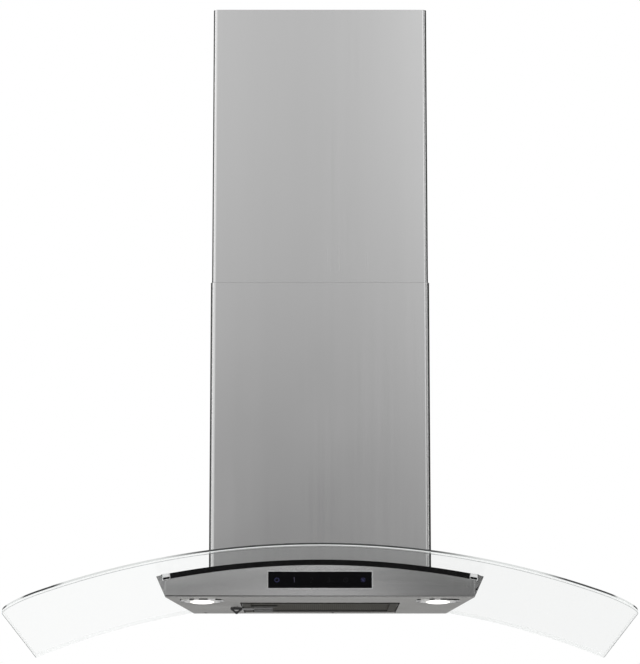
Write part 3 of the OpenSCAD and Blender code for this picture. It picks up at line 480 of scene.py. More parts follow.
def edge_line():
    """The upper arris along the front, painted with what stands behind the glass, a painted reflection: dark
    before the covers, dark again in two stretches towards the corners and at the corners themselves, and pale
    elsewhere."""
    material, tree, shader = new_material("edge_line", {"Specular IOR Level": 0.0})
    x = object_axis(tree, "X")
    left, aside = times(tree, x, -1.0), calc(tree, "ABSOLUTE", x)
    dark = smooth_step(tree, aside, *DARK_MIDDLE_FADE, 1.0, 0.0)
    stretches = ((x, DARK_ON_RIGHT), (left, DARK_ON_LEFT), (aside, DARK_AT_CORNERS))
    for place, (start, full, fade, end) in stretches:
        rise = smooth_step(tree, place, start, full)
        fall = smooth_step(tree, place, fade, end, 1.0, 0.0)
        dark = plus(tree, dark, times(tree, rise, fall))
    grain = placed(tree, BRUSHED_GRAIN, Stretch=(40.0, 40.0, 40.0))
    shade = times(tree, dark, ranged(tree, grain.outputs["Tone"], 0.85, 1.0))
    paint(tree, shader, shade, (0.84, 0.86, 0.85), (0.008, 0.009, 0.01))
    cloudy_roughness(tree, shader, 50.0, 0.3, 0.4)
    return material


def lit_mark(name, colour):
    """A printed mark that is lit from behind, a little uneven."""
    material, tree, shader = new_material(name, {"Base Color": (0.01, 0.01, 0.012, 1.0), "Roughness": 0.4,
                                                 "Specular IOR Level": 0.1, "Emission Strength": 1.0})
    cloud = placed(tree, CLOUDY, Scale=120.0)
    dim = tuple(0.85 * c for c in colour)
    paint(tree, shader, cloud.outputs[0], dim, colour, "Emission Color")
    return material


LAMP_GLOW_R = 0.0128     # the bright middle of the diffuser, and where it fades out
LAMP_FADE_R = 0.0155


def lit_diffuser():
    """Frosted lens over its lamp: bright in the middle, frosted white round it."""
    material, tree, shader = new_material("lit_diffuser", {"Roughness": 0.35, "Emission Strength": 1.5})
    x, y, _ = node(tree, "ShaderNodeSeparateXYZ", {0: object_place(tree)}).outputs
    lens = centre("lamp_lens_right")
    away = distance(tree, plus(tree, calc(tree, "ABSOLUTE", x), -lens.x), plus(tree, y, -lens.y))
    fade = smooth_step(tree, away, LAMP_GLOW_R, LAMP_FADE_R)
    paint(tree, shader, fade, (1.0, 0.98, 0.93), (0.06, 0.06, 0.058), "Emission Color")
    paint(tree, shader, fade, (0.9, 0.89, 0.86), (0.52, 0.52, 0.51))
    return material


def circuit_board():
    material, tree, shader = new_material("circuit_board", {"Roughness": 0.35, "Coat Weight": 0.3})
    tracks = node(tree, "ShaderNodeTexBrick", {
        "Vector": object_place(tree), "Scale": 260.0, "Mortar Size": 0.03, "Mortar": (0.05, 0.26, 0.11, 1),
        "Color1": (0.02, 0.13, 0.05, 1), "Color2": (0.025, 0.16, 0.06, 1),
    })
    tree.links.new(tracks.outputs["Color"], shader.inputs["Base Color"])
    bumped(tree, shader, tracks.outputs["Fac"], 0.00003)
    return material


def wound_copper():
    material, tree, shader = new_material("wound_copper", {"Metallic": 1.0, "Roughness": 0.3})
    turns = node(tree, "ShaderNodeTexWave", {
        "Vector": object_place(tree), "Scale": 420.0, "Distortion": 2.5, "Detail": 1.0,
    }, wave_type="RINGS", rings_direction="X").outputs["Fac"]
    paint(tree, shader, turns, (0.28, 0.09, 0.03), (0.75, 0.32, 0.14))
    bumped(tree, shader, turns, 0.0003)
    return material


UPRIGHT = (0.0, 0.0, 1.0)
LEVEL = (1.0, 0.0, 0.0)
EDGE_TINT = (0.76, 0.755, 0.745)     # steel seen along its face

finish = {
    "canopy_glass": clear_glass(),
    "foam": moulding("cell_foam", (0.05, 0.05, 0.055), (0.16, 0.16, 0.17), 0.85, 0.95, 900.0, 0.0003),
    "black_foam": moulding("black_foam", (0.001, 0.001, 0.001), (0.007, 0.007, 0.0075), 0.6, 0.75,
                           700.0, 0.0002, {"Specular IOR Level": 0.12}),
    "side_arris": moulding("side_glass_arris", (0.24, 0.27, 0.26), (0.36, 0.39, 0.38), 0.3, 0.4,
                           300.0, 0.00001),
    "cover_steel": brushed_steel("upright_brushed_steel", UPRIGHT, (0.585, 0.585, 0.585),
                                 (0.603, 0.603, 0.603), 0.20, {"Crown": 0.2}),
    "body_steel": brushed_steel("level_brushed_steel", LEVEL, (0.585, 0.585, 0.585),
                                (0.64, 0.638, 0.635), 0.15,
                                {"Left": 0.01, "Middle": 0.04, "Right": -0.04, "Half width": 0.2},
                                fold_x=0.186),
    "tray_steel": brushed_steel("tray_brushed_steel", LEVEL, (0.585, 0.58, 0.57),
                                (0.645, 0.64, 0.63), 0.18, {}, EDGE_TINT),
    "ground_edge_painted_glow": ground_edge_painted_glow("ground_edge_painted_glow", 0.85),
    "polished_edge": ground_edge_painted_glow("polished_edge", 0.12),
    "edge_line": edge_line(),
    "lower_line": lower_line(),
    "galvanised": galvanised_sheet(),
    "bright_steel": bright_steel(),
    "black_glass": black_glass(),
    "dark_plastic": moulding("dark_plastic", (0.012, 0.012, 0.013), (0.05, 0.05, 0.052), 0.4, 0.55),
    "board_green": circuit_board(),
    "lamp_glass": lit_diffuser(),
    "cast_alloy": plain_metal("cast_alloy", (0.38, 0.38, 0.39), (0.52, 0.52, 0.53), 0.45, 0.6, 900.0, 0.0001),
    "filter_alloy": plain_metal("drawn_alloy", (0.17, 0.167, 0.16), (0.23, 0.227, 0.22), 0.3, 0.42,
                                600.0, 0.00003, (0.24, 0.235, 0.225)),
    "fan_plastic": moulding("fan_plastic", (0.03, 0.031, 0.033), (0.08, 0.082, 0.086), 0.45, 0.6),
    "motor_steel": plain_metal("plated_steel", (0.46, 0.47, 0.47), (0.6, 0.6, 0.61), 0.28, 0.38,
                               500.0, 0.00002),
    "core_steel": plain_metal("varnished_core", (0.16, 0.16, 0.17), (0.26, 0.26, 0.27), 0.4, 0.5,
                              800.0, 0.00006),
    "copper": wound_copper(),
    "white_plastic": moulding("white_plastic", (0.74, 0.74, 0.71), (0.86, 0.86, 0.84), 0.3, 0.42),
    "lit_blue": lit_mark("lit_blue_mark", (0.055, 0.057, 0.155)),
    "lit_white": lit_mark("lit_white_mark", (0.085, 0.08, 0.12)),
    "unlit": moulding("unlit_mark", (0.005, 0.005, 0.006), (0.010, 0.010, 0.012), 0.3, 0.4,
                      constants={"Specular IOR Level": 0.15}),
    "clip_steel": plain_metal("clip_steel", (0.90, 0.90, 0.90), (0.97, 0.97, 0.97), 0.5, 0.6, 500.0, 0.00001),
    "rim_steel": plain_metal("rim_steel", (0.82, 0.82, 0.82), (0.93, 0.93, 0.93), 0.2, 0.3, 500.0, 0.00001),
    "cut_sheet": plain_metal("cut_sheet", (0.40, 0.40, 0.40), (0.48, 0.48, 0.48), 0.4, 0.5, 900.0, 0.00001),
}

STEEL_OF = {"lower_cover": "cover_steel", "upper_cover": "cover_steel", "hood_tray": "tray_steel"}
OWN_FINISH = {"panel_rim": "rim_steel", "glass_clips": "clip_steel"}

for subpart in frame["record"]["subparts"]:
    name, slot = subpart["node"], subpart["material_slot"]
    if slot == "brushed_steel":
        slot = STEEL_OF.get(name, "body_steel")
    slot = OWN_FINISH.get(name, slot)
    for material_slot in frame["nodes"][name].material_slots:
        material_slot.material = finish[slot]


# Camera, lamps and floor

GLASS_CROWN_Z = high_corner("glass_canopy").z - 5 * MM
CAMERA_BACK = 4.20
CAMERA_BELOW_CROWN = 0.547
CAMERA_PITCH = 11.668
CAMERA_LENS = 173.0
CAMERA_SHIFT = 0.05


def add_camera():
    lens = bpy.data.cameras.new("camera")
    lens.sensor_width = 36.0
    lens.lens = CAMERA_LENS
    lens.shift_y = CAMERA_SHIFT
    camera = bpy.data.objects.new("camera", lens)
    camera.location = (0.0, -CAMERA_BACK, GLASS_CROWN_Z - CAMERA_BELOW_CROWN)
    camera.rotation_euler = (math.radians(90 + CAMERA_PITCH), 0.0, 0.0)
    bpy.context.scene.collection.objects.link(camera)
    bpy.context.scene.camera = camera


def add_softbox(name, place, target, width, height, radiance):
    """A rectangular lamp that is seen at the given radiance."""
    lamp = bpy.data.lights.new(name, "AREA")
    lamp.shape = "RECTANGLE"
    lamp.size, lamp.size_y = width, height
    lamp.energy = radiance * math.pi * width * height
    holder = bpy.data.objects.new(name, lamp)
    holder.location = place
    holder.rotation_mode = "QUATERNION"
    holder.rotation_quaternion = (Vector(target) - Vector(place)).to_track_quat("-Z", "Y")
    bpy.context.scene.collection.objects.link(holder)


# The studio's directions x, y and z are those of a ray that leaves the hood
MATT_LIGHT = 0.75        # what matt surfaces get
HIGH_RIGHT_GAIN = 0.36
SIDE_GAIN = 0.42
RIGHT_FLAG = 0.9


def light_studio():
    """A white studio: white where it is seen, greyer low down in front of polished metal, dark behind."""
    world = bpy.data.worlds.new("studio")
    bpy.context.scene.world = world
    world.use_nodes = True
    tree = world.node_tree
    tree.nodes.clear()
    ray = node(tree, "ShaderNodeTexCoord").outputs["Generated"]
    x, y, z = node(tree, "ShaderNodeSeparateXYZ", {0: ray}).outputs
    aside = calc(tree, "ABSOLUTE", x)
    # Ahead of the hood: dark near the horizon, brighter above it and a little brighter below
    ahead = plus(tree, smooth_step(tree, z, 0.075, 0.295, 0.12, 0.74),
                 smooth_step(tree, times(tree, z, -1.0), 0.09, 0.16, 0.0, 0.40))
    high_right = times(tree, smooth_step(tree, x, 0.02, 0.25), smooth_step(tree, z, 0.15, 0.3))
    ahead = times(tree, ahead, plus(tree, 1.0, times(tree, high_right, HIGH_RIGHT_GAIN)))
    # Both sides are brighter than the middle, and strips beside the camera light the covers' bends
    inside = smooth_step(tree, aside, 0.72, 0.86, 1.0, 0.2)
    side_share = times(tree, smooth_step(tree, aside, 0.02, 0.25), inside)
    ahead = times(tree, ahead, plus(tree, 1.0, times(tree, side_share, SIDE_GAIN)))
    strips = times(tree, smooth_step(tree, aside, 0.2, 0.45), inside)
    ahead = plus(tree, ahead, times(tree, strips, smooth_step(tree, z, 0.1, 0.3, 0.7, 0.25)))
    ahead = times(tree, ahead, smooth_step(tree, z, 0.36, 0.52, 1.0, 0.5))
    # Black flags on the right and behind, and a pale patch under the rear
    right = times(tree, smooth_step(tree, x, 0.5, 0.7), smooth_step(tree, z, -0.02, 0.08))
    right_flag = plus(tree, 1.0, times(tree, right, -RIGHT_FLAG))
    rear_flag = smooth_step(tree, y, -0.12, 0.18, 1.0, 0.08)
    front = times(tree, times(tree, ahead, right_flag), rear_flag)
    below = times(tree, smooth_step(tree, y, 0.5, 0.8), smooth_step(tree, z, -0.04, 0.06, 0.3, 0.0))
    path = node(tree, "ShaderNodeLightPath").outputs
    unseen = between(tree, path["Is Glossy Ray"], MATT_LIGHT, plus(tree, front, below))
    strength = between(tree, camera_or_through_glass(tree, path), unseen, 1.0)
    background = node(tree, "ShaderNodeBackground", {"Color": (1, 1, 1, 1), "Strength": strength})
    output = node(tree, "ShaderNodeOutputWorld")
    tree.links.new(background.outputs[0], output.inputs["Surface"])


FLOOR_HALF = 6.0
FLOOR_BELOW = 0.75
FLOOR_IN_METAL = 0.3     # how bright polished metal sees it


def add_floor():
    """A pale floor well below the hood, seen from above only."""
    half, z = FLOOR_HALF, low_corner("glass_canopy").z - FLOOR_BELOW
    corners = [(-half, -half, z), (half, -half, z), (half, half, z), (-half, half, z)]
    mesh = bpy.data.meshes.new("floor")
    mesh.from_pydata(corners, [], [(0, 1, 2, 3)])
    floor = bpy.data.objects.new("floor", mesh)
    bpy.context.scene.collection.objects.link(floor)
    material, tree, shader = new_material("pale_floor", {"Base Color": (0.8, 0.8, 0.8, 1), "Roughness": 0.8})
    glow = node(tree, "ShaderNodeEmission", {"Color": (1, 1, 1, 1), "Strength": 1.0})
    path = node(tree, "ShaderNodeLightPath").outputs
    in_metal = times(tree, path["Is Glossy Ray"], FLOOR_IN_METAL)
    seen = calc(tree, "MAXIMUM", camera_or_through_glass(tree, path), in_metal)
    x, y, _ = node(tree, "ShaderNodeSeparateXYZ", {0: object_place(tree)}).outputs
    share = times(tree, seen, smooth_step(tree, distance(tree, x, y), 1.5, 5.5, 0.75, 1.0))
    lifted = mixed_shaders(tree, share, shader.outputs[0], glow.outputs[0])
    underneath = node(tree, "ShaderNodeNewGeometry").outputs["Backfacing"]
    show(tree, mixed_shaders(tree, underneath, lifted, transparent(tree, (1, 1, 1, 1))))
    mesh.materials.append(material)


bpy.context.scene.view_settings.view_transform = "Standard"
add_camera()
light_studio()
add_softbox("front_softbox", (0.35, -1.9, 3.0), (0.0, -0.2, 0.1), 2.6, 1.6, 1.1)
for side in (-1, 1):
    add_softbox(f"side_softbox_{side}", (side * 1.7, -0.9, 0.4), (0.0, -0.1, 0.1), 0.6, 2.2, 1.0)
add_floor()


# Canopy: the pane, and the ground edge that runs round it

EDGE_BEVEL = 0.6 * MM
EDGE_GAP = 0.05 * MM
LINE_H = 2.2 * MM        # the upper arris along the front, and the painted glint line under it
EDGE_GLINT_TOP = 2.25 * MM
EDGE_GLINT_END = 3.0 * MM
EDGE_GLINT_BACK = 0.05 * MM
BEHIND_GLINT_D = 0.06 * MM


def add_pane():
    """The bent pane with its holes, a bevel's width smaller than the canopy: its ground edge fits round it."""
    low, high = low_corner("glass_canopy"), high_corner("glass_canopy")
    pane_mesh = frame["nodes"]["glass_canopy"].data.copy()
    pane_mesh.name = "canopy_pane"
    pane_mesh.materials.clear()
    pane_mesh.materials.append(finish["canopy_glass"])
    middle = (low + high) / 2
    size = high - low
    share_x, share_y = ((side - 2 * EDGE_BEVEL) / side for side in (size.x, size.y))
    shrink = Matrix.Diagonal((share_x, share_y, 1.0, 1.0))
    place = Matrix.Translation((middle.x, middle.y, 0.0))
    pane_mesh.transform(place @ shrink @ place.inverted())
    pane = bpy.data.objects.new("canopy_pane", pane_mesh)
    bpy.context.scene.collection.objects.link(pane)
    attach(pane, "hood")
    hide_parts("glass_canopy")


def arch_of_canopy():
    """Crown height, outer radius and thickness of the bent glass, from its own corners."""
    vertices = [v.co for v in frame["nodes"]["glass_canopy"].data.vertices]
    crown = max(v.z for v in vertices)
    side = max(v.x for v in vertices)
    side_top = max(v.z for v in vertices if side - v.x < 0.1 * MM)
    under_crown = min(v.z for v in vertices if abs(v.x) < 20 * MM and v.y < -400 * MM)
    drop = crown - side_top
    return crown, (side * side + drop * drop) / (2 * drop), crown - under_crown


def canopy_outline():
    """Points round the canopy seen from above, from its right rear corner by the front to its left rear
    corner, and then those along the wall. Each has its outward direction."""
    low, high = low_corner("glass_canopy"), high_corner("glass_canopy")
    vertices = [v.co for v in frame["nodes"]["glass_canopy"].data.vertices]
    straight = max(v.x for v in vertices if v.y - low.y < 0.05 * MM)
    round_r = high.x - straight
    rear, side_end = high.y, low.y + round_r
    side = [(high.x, rear + (side_end - rear) * i / 20, 1.0, 0.0) for i in range(20)]
    corner = []
    for i in range(25):
        a = math.radians(90 * i / 24)
        out_x, out_y = math.cos(a), -math.sin(a)
        corner.append((straight + round_r * out_x, side_end + round_r * out_y, out_x, out_y))
    front = [(straight * (1 - i / 30), low.y, 0.0, -1.0) for i in range(1, 60)]
    mirrored = [(-x, y, -nx, ny) for x, y, nx, ny in reversed(side + corner)]
    wall = [(low.x + (high.x - low.x) * i / 60, high.y, 0.0, 1.0) for i in range(1, 60)]
    return side, corner, front, mirrored[:25], mirrored[25:], wall


def sweep_edge(points, section):
    """A band along the canopy's edge. Each point of the section is given inwards from the edge and down
    from the top, or up from the underside where its last word is False."""
    crown, arch_r, thick = arch_of_canopy()

    def fill(shape):
        rings = []
        for x, y, out_x, out_y in points:
            ring = []
            for inwards, away, from_top in section:
                px, py = x - out_x * inwards, y - out_y * inwards
                r = arch_r if from_top else arch_r - thick
                z = crown - arch_r + math.sqrt(r * r - px * px) + (-away if from_top else away)
                ring.append(shape.verts.new((px, py, z)))
            rings.append(ring)
        lay_skin(shape, rings)
    return fill


def add_canopy():
    add_pane()
    b = EDGE_BEVEL
    inner = b - EDGE_GAP
    right, right_corner, front, left_corner, left, wall = canopy_outline()
    line = [(inner, 0.0, True), (0.0, LINE_H, True), (inner, LINE_H, True)]
    flat = [(BEHIND_GLINT_D, LINE_H, True), (BEHIND_GLINT_D, b, False), (inner, b, False), (inner, LINE_H, True)]
    # A bright line that glows a little under the upper arris: a painted glint
    light = [(0.0, EDGE_GLINT_TOP, True), (0.0, EDGE_GLINT_END, True), (EDGE_GLINT_BACK, EDGE_GLINT_END, True),
             (EDGE_GLINT_BACK, EDGE_GLINT_TOP, True)]
    lower = [(0.0, b, False), (inner, 0.0, False), (inner, b, False)]
    plain = [(inner, 0.0, True), (0.0, 2 * b, True), (0.0, b, False), (inner, b, False)]
    whole = [(inner, 0.0, True), (0.0, 2 * b, True), (0.0, b, False), (inner, 0.0, False)]
    bends = right_corner + front + left_corner
    for name, points, section, look in (
        ("edge_front_line", bends, line, "edge_line"), ("edge_front_flat", bends, flat, "polished_edge"),
        ("edge_front_painted_glint", bends, light, "ground_edge_painted_glow"),
        ("edge_front_lower_arris", bends, lower, "lower_line"),
        ("edge_right_flat", right + right_corner[:1], plain, "polished_edge"),
        ("edge_right_lower_arris", right + right_corner[:1], lower, "side_arris"),
        ("edge_left_flat", left_corner[-1:] + left, plain, "polished_edge"),
        ("edge_left_lower_arris", left_corner[-1:] + left, lower, "side_arris"),
        ("edge_wall", left[-1:] + wall + right[:1], whole, "polished_edge"),
    ):
        add_piece(name, sweep_edge(points, section), finish[look], "hood")


add_canopy()


# Touch marks: flat strokes printed on the black glass

MARK_W = 0.42 * MM
MARK_PROUD = 0.06 * MM
KEYS = 6
glass_low, glass_high = low_corner("touch_panel"), high_corner("touch_panel")
KEY_PITCH = (glass_high.x - glass_low.x) / KEYS
KEY_Z = (glass_low.z + glass_high.z) / 2


def add_stroke(shape, points, closed=False, width=MARK_W):
    """A flat stroke through the points, which are across and up in millimetres from the key's middle."""
    count = len(points)
    flat = [Vector((x * MM, z * MM)) for x, z in points]
    rows = []
    for i, point in enumerate(flat):
        before = flat[i - 1] if closed or i else flat[i]
        after = flat[(i + 1) % count] if closed or i < count - 1 else flat[i]
        along = (after - before).normalized()
        square_on = Vector((-along.y, along.x)) * width / 2
        rows.append((point - square_on, point + square_on))
    front = glass_low.y - MARK_PROUD
    verts = [[shape.verts.new((p.x, y, p.y)) for p in row for y in (front, glass_low.y)] for row in rows]
    for i in range(count if closed else count - 1):
        a, b = verts[i], verts[(i + 1) % count]
        for first, second in ((0, 2), (2, 3), (3, 1), (1, 0)):
            shape.faces.new((a[first], a[second], b[second], b[first]))
    if not closed:
        shape.faces.new([verts[0][k] for k in (0, 1, 3, 2)])
        shape.faces.new([verts[-1][k] for k in (0, 2, 3, 1)])


def arc(radius, start, end, steps=24, middle=(0.0, 0.0)):
    turn = [math.radians(start + (end - start) * i / steps) for i in range(steps + 1)]
    return [(middle[0] + radius * math.cos(a), middle[1] + radius * math.sin(a)) for a in turn]


def draw_power(shape):
    add_stroke(shape, arc(2.5, 120, 420))
    add_stroke(shape, [(0, 3.1), (0, 0.9)])


def draw_one(shape):
    add_stroke(shape, [(-1.0, 1.9), (0.2, 2.9), (0.2, -3.0)])


def draw_two(shape):
    add_stroke(shape, arc(1.6, 165, -40, middle=(0, 1.4)) + [(-1.7, -2.9), (1.8, -2.9)])


def draw_three(shape):
    add_stroke(shape, arc(1.45, 150, -90, middle=(0, 1.5)) + arc(1.6, 90, -150, middle=(0, -1.4)))


def draw_clock(shape):
    add_stroke(shape, arc(2.6, 0, 360)[:-1], closed=True)
    add_stroke(shape, [(0, 1.7), (0, 0), (1.3, -0.6)])


def draw_lamp(shape):
    add_stroke(shape, arc(1.1, 0, 360)[:-1], closed=True)
    for ray in range(8):
        a = math.radians(45 * ray)
        add_stroke(shape, [(1.8 * math.cos(a), 1.8 * math.sin(a)), (3.0 * math.cos(a), 3.0 * math.sin(a))])


def add_marks():
    for i, (name, draw, look) in enumerate((
        ("power_mark", draw_power, "lit_blue"), ("speed_one_mark", draw_one, "lit_white"),
        ("speed_two_mark", draw_two, "unlit"), ("speed_three_mark", draw_three, "unlit"),
        ("timer_mark", draw_clock, "unlit"), ("lamp_mark", draw_lamp, "lit_blue"),
    )):
        piece = add_piece(name, draw, finish[look], "hood")
        middle_x = (glass_low.x + glass_high.x) / 2 + (i - (KEYS - 1) / 2) * KEY_PITCH
        piece.data.transform(Matrix.Translation((middle_x, 0, KEY_Z)))


add_marks()


# Fasteners: pan heads with a cross recess in place of the plain ones

HEAD_R = 3.5 * MM
HEAD_H = 1.4 * MM
RECESS_W = 0.55 * MM
RECESS_L = 2.0 * MM
RECESS_DEPTH = 0.8 * MM
THREAD_R = 1.8 * MM
THREAD_ROOT = 0.86       # the root's radius as a share of the crest's
THREAD_STEP = 0.5 * MM   # from a crest to the next root


def screw_frame(seat_point, way):
    """Turns and moves a screw so that its head stands on seat_point and points along way."""
    return Matrix.Translation(seat_point) @ Vector(way).to_track_quat("Z", "Y").to_matrix().to_4x4()


def fill_screw(shape, place, length):
    """A pan head with a cross recess over a threaded shank."""
    around, out = 48, 14
    head = []
    for j in range(out + 1):
        r = HEAD_R * j / out
        ring = []
        for i in range(around):
            a = 2 * math.pi * i / around
            x, y = r * math.cos(a), r * math.sin(a)
            z = HEAD_H * math.sqrt(max(0.0, 1 - (r / HEAD_R) ** 4)) if j < out else 0.0
            crossing = min(abs(x), abs(y)) < RECESS_W / 2 and max(abs(x), abs(y)) < RECESS_L
            if crossing:
                z = HEAD_H - RECESS_DEPTH * (1 - 0.5 * max(abs(x), abs(y)) / RECESS_L)
            ring.append(shape.verts.new(place @ Vector((x, y, z))))
            if j == 0:
                break
        head.append(ring)
    for i in range(around):
        k = (i + 1) % around
        shape.faces.new((head[0][0], head[1][i], head[1][k]))
        for j in range(1, out):
            shape.faces.new((head[j][i], head[j + 1][i], head[j + 1][k], head[j][k]))
    turns = int(length / THREAD_STEP)
    below = head[-1]
    for j in range(turns + 2):
        if j < 2:
            r, z = THREAD_R, -0.02 * MM * j
        else:
            r, z = THREAD_R * (THREAD_ROOT if j % 2 else 1.0), -length * (j - 1) / turns
        ring = [shape.verts.new(place @ Vector((r * math.cos(a), r * math.sin(a), z)))
                for a in (2 * math.pi * i / around for i in range(around))]
        for i in range(around):
            k = (i + 1) % around
            shape.faces.new((below[i], ring[i], ring[k], below[k]))
        below = ring
    shape.faces.new(below)


def add_screws(node_name, body, places, length):
    """The node's screws with their real heads. Each place is a seat point and the way that its head faces."""
    def fill(shape):
        for seat_point, way in places:
            fill_screw(shape, screw_frame(seat_point, way), length)
    steel = finish["bright_steel"]
    piece = add_piece(node_name + "_detailed", fill, steel, body, [node_name])
    smooth_by_angle(piece, 35)


COLLAR_SCREW_L = 6.0 * MM
COVER_SCREW_L = 5.6 * MM


def add_all_screws():
    low, high = low_corner("collar_screws"), high_corner("collar_screws")
    collar = [((x, y, high.z - HEAD_H), (0, 0, 1))
              for x in (low.x + HEAD_R, high.x - HEAD_R) for y in (low.y + HEAD_R, high.y - HEAD_R)]
    add_screws("collar_screws", "hood", collar, COLLAR_SCREW_L)
    for name, body in (("cover_screws", "hood"), ("bracket_screws", "upper_cover")):
        low, high, middle = low_corner(name), high_corner(name), centre(name)
        ends = ((high.x - HEAD_H, 1), (low.x + HEAD_H, -1))
        sides = [((x, middle.y, middle.z), (way, 0, 0)) for x, way in ends]
        add_screws(name, body, sides, COVER_SCREW_L)


add_all_screws()


# A black strip under the front panel, where its folded edge meets the tray: painted shade in the gap between them

SEAM_H = 0.95 * MM       # at its left end
SEAM_END_H = 0.3 * MM
SEAM_D = 0.4 * MM


def fill_seam_shade(shape):
    low = low_corner("front_panel")
    half = max(v.co.x for v in frame["nodes"]["front_panel"].data.vertices
               if v.co.z - low.z < 0.5 * MM and v.co.y - low.y < 0.5 * MM)
    y = low.y - 0.02 * MM
    box = [(-half, y), (half, y), (half, y + SEAM_D), (-half, y + SEAM_D)]
    lower = [shape.verts.new((x, yy, low.z)) for x, yy in box]
    upper = [shape.verts.new((x, yy, low.z + (SEAM_H if x < 0 else SEAM_END_H))) for x, yy in box]
    lay_skin(shape, [lower, upper])


add_piece("panel_seam_shade", fill_seam_shade, finish["black_foam"], "hood")


# Black pieces of painted shade: under each canopy clip, round the lamps, along the filter's opening, at the
# panel's folded corner and on the tray behind the filter; a thin black strip above each clip; and white arcs by
# the lamps, painted glints

def under_canopy(x):
    """Height of the canopy's underside."""
    crown, arch_r, thick = arch_of_canopy()
    return crown - arch_r + math.sqrt((arch_r - thick) ** 2 - x * x)


def arch_strip(start, end, top, bottom, front, depth):
    """A strip that follows the canopy's arch, between two depths under it."""
    def fill(shape):
        rings = []
        for k in range(9):
            x = start + (end - start) * k / 8
            z = under_canopy(x)
            rings.append([shape.verts.new((x, y, z - below)) for y, below in (
                (front, top), (front, bottom), (front + depth, bottom), (front + depth, top))])
        lay_skin(shape, rings)
    return fill


def add_clip_shade_and_strip():
    front = low_corner("glass_clips").y
    strip_end, clip_end = high_corner("front_strip").x, high_corner("glass_clips").x
    body_end = high_corner("front_panel").x
    for side, word in ((-1, "left"), (1, "right")):
        for name, start, end, top, bottom, proud, depth in (
            # Under each clip a black bar of painted shadow; above it a thin black strip that carries on the front
            # strip
            ("clip_painted_shadow_", strip_end + 0.3 * MM, clip_end - 0.6 * MM, 4.4 * MM, 6.9 * MM, 0.15 * MM, 1.4 * MM),
            ("clip_line_", strip_end, body_end - 6 * MM, 0.15 * MM, 0.9 * MM, -0.1 * MM, 1.2 * MM),
        ):
            bar = arch_strip(side * start, side * end, top, bottom, front - proud, depth)
            add_piece(name + word, bar, finish["black_foam"], "hood")


def tray_surface():
    """A point at the front of the tray's underside, and unit vectors along it to the rear and out of it."""
    low = low_corner("hood_tray")
    front = min((v.co for v in frame["nodes"]["hood_tray"].data.vertices if v.co.z - low.z < 0.05 * MM),
                key=lambda v: v.y)
    _, along, inward = filter_directions()
    return Vector((0.0, front.y, front.z)), along, -inward


def lamp_foot(side):
    """The point of the tray's underside in the middle of a lamp, and the tray's directions."""
    low, high = low_corner("lamp_ring_right"), high_corner("lamp_ring_right")
    start, along, down = tray_surface()
    foot = start + along * ((centre("lamp_ring_right").y - start.y) / along.y)
    return foot + Vector((side * (low.x + high.x) / 2, 0, 0)), along, down, (high.x - low.x) / 2


LAMP_ARC_W = 0.8 * MM
LAMP_SHADE_H = 1.25 * MM
LAMP_GLINT_H = 1.4 * MM
# Angles of black arcs of painted shade round each lamp's ring
LAMP_SHADE_ARCS = {-1: ((31, 52), (74, 96), (109, 121), (154, 161)), 1: ((24, 85), (100, 113), (143, 156))}
# Angles of white arcs, painted glints on each lamp's ring
LAMP_GLINT_ARCS = {-1: ((123, 152), (97, 104)), 1: ((115, 140), (88, 97))}


def fill_lamp_arcs(side, arcs, low_h, high_h):
    """Stretches of a band round a lamp's ring, by their angles from the right hand round to the front."""
    def fill(shape):
        foot, along, down, ring_r = lamp_foot(side)
        inner = ring_r + 0.05 * MM
        section = ((inner, low_h), (inner, high_h), (inner + LAMP_ARC_W, high_h), (inner + LAMP_ARC_W, low_h))
        for first, last in arcs:
            steps = max(3, int((last - first) / 4))
            turns = [math.radians(first + (last - first) * i / steps) for i in range(steps + 1)]
            lay_skin(shape, [[shape.verts.new(
                foot + Vector((r * math.cos(a), 0, 0)) - along * (r * math.sin(a)) + down * depth)
                for r, depth in section] for a in turns])
    return fill


# Radius, and depth below the tray at the front and at the rear, in millimetres. The rear stands out more, which
# turns the lamp towards the cook.
BEZEL = ((27.1, -0.6, -0.6), (27.1, 0.5, 2.6), (26.5, 0.9, 3.0),
         (22.4, 0.9, 3.0), (21.4, 0.5, 2.6), (21.2, -0.6, -0.6))
LENS = ((21.0, 0.2, 0.2), (21.0, 0.5, 2.3), (19.5, 0.75, 3.1), (17.0, 0.9, 3.6), (15.0, 1.0, 4.1),
        (14.0, 1.1, 4.3), (10.0, 1.6, 4.0), (5.0, 2.2, 3.5), (0.0, 2.9, 2.9))


def fill_turned(side, profile, is_ring):
    """A round piece of the lamp whose depth runs from its front value to its rear value."""
    def fill(shape):
        foot, along, down, _ = lamp_foot(side)
        around = 96
        rows = []
        for r, at_front, at_rear in profile:
            row = []
            for i in range(around if r else 1):
                a = 2 * math.pi * i / around
                depth = at_front + (at_rear - at_front) * (1 + math.sin(a)) / 2
                row.append(shape.verts.new(foot + Vector((r * MM * math.cos(a), 0, 0))
                                           + along * (r * MM * math.sin(a)) + down * depth * MM))
            rows.append(row)
        pairs = list(zip(rows, rows[1:])) + ([(rows[-1], rows[0])] if is_ring else [])
        for a, b in pairs:
            for i in range(around):
                n = (i + 1) % around
                shape.faces.new((a[i], a[n], b[n], b[i]) if len(b) > 1 else (a[i], a[n], b[0]))
        if not is_ring:
            shape.faces.new(rows[0])
    return fill


def add_lamp_fronts():
    for side, word in ((-1, "left"), (1, "right")):
        for name, profile, is_ring, look, slot, degrees, solid in (
            ("lamp_bezel_", BEZEL, True, "bright_steel", "bright_steel", 35, "lamp_ring_"),
            ("lamp_dome_", LENS, False, "lamp_glass", "lamp_glass", 50, "lamp_lens_"),
        ):
            front = add_piece(name + word, fill_turned(side, profile, is_ring), finish[look], "hood",
                              [solid + word])
            smooth_by_angle(front, degrees)


GAP_SHADE_SUNK = 0.02 * MM
GAP_SHADE_H = 0.9 * MM


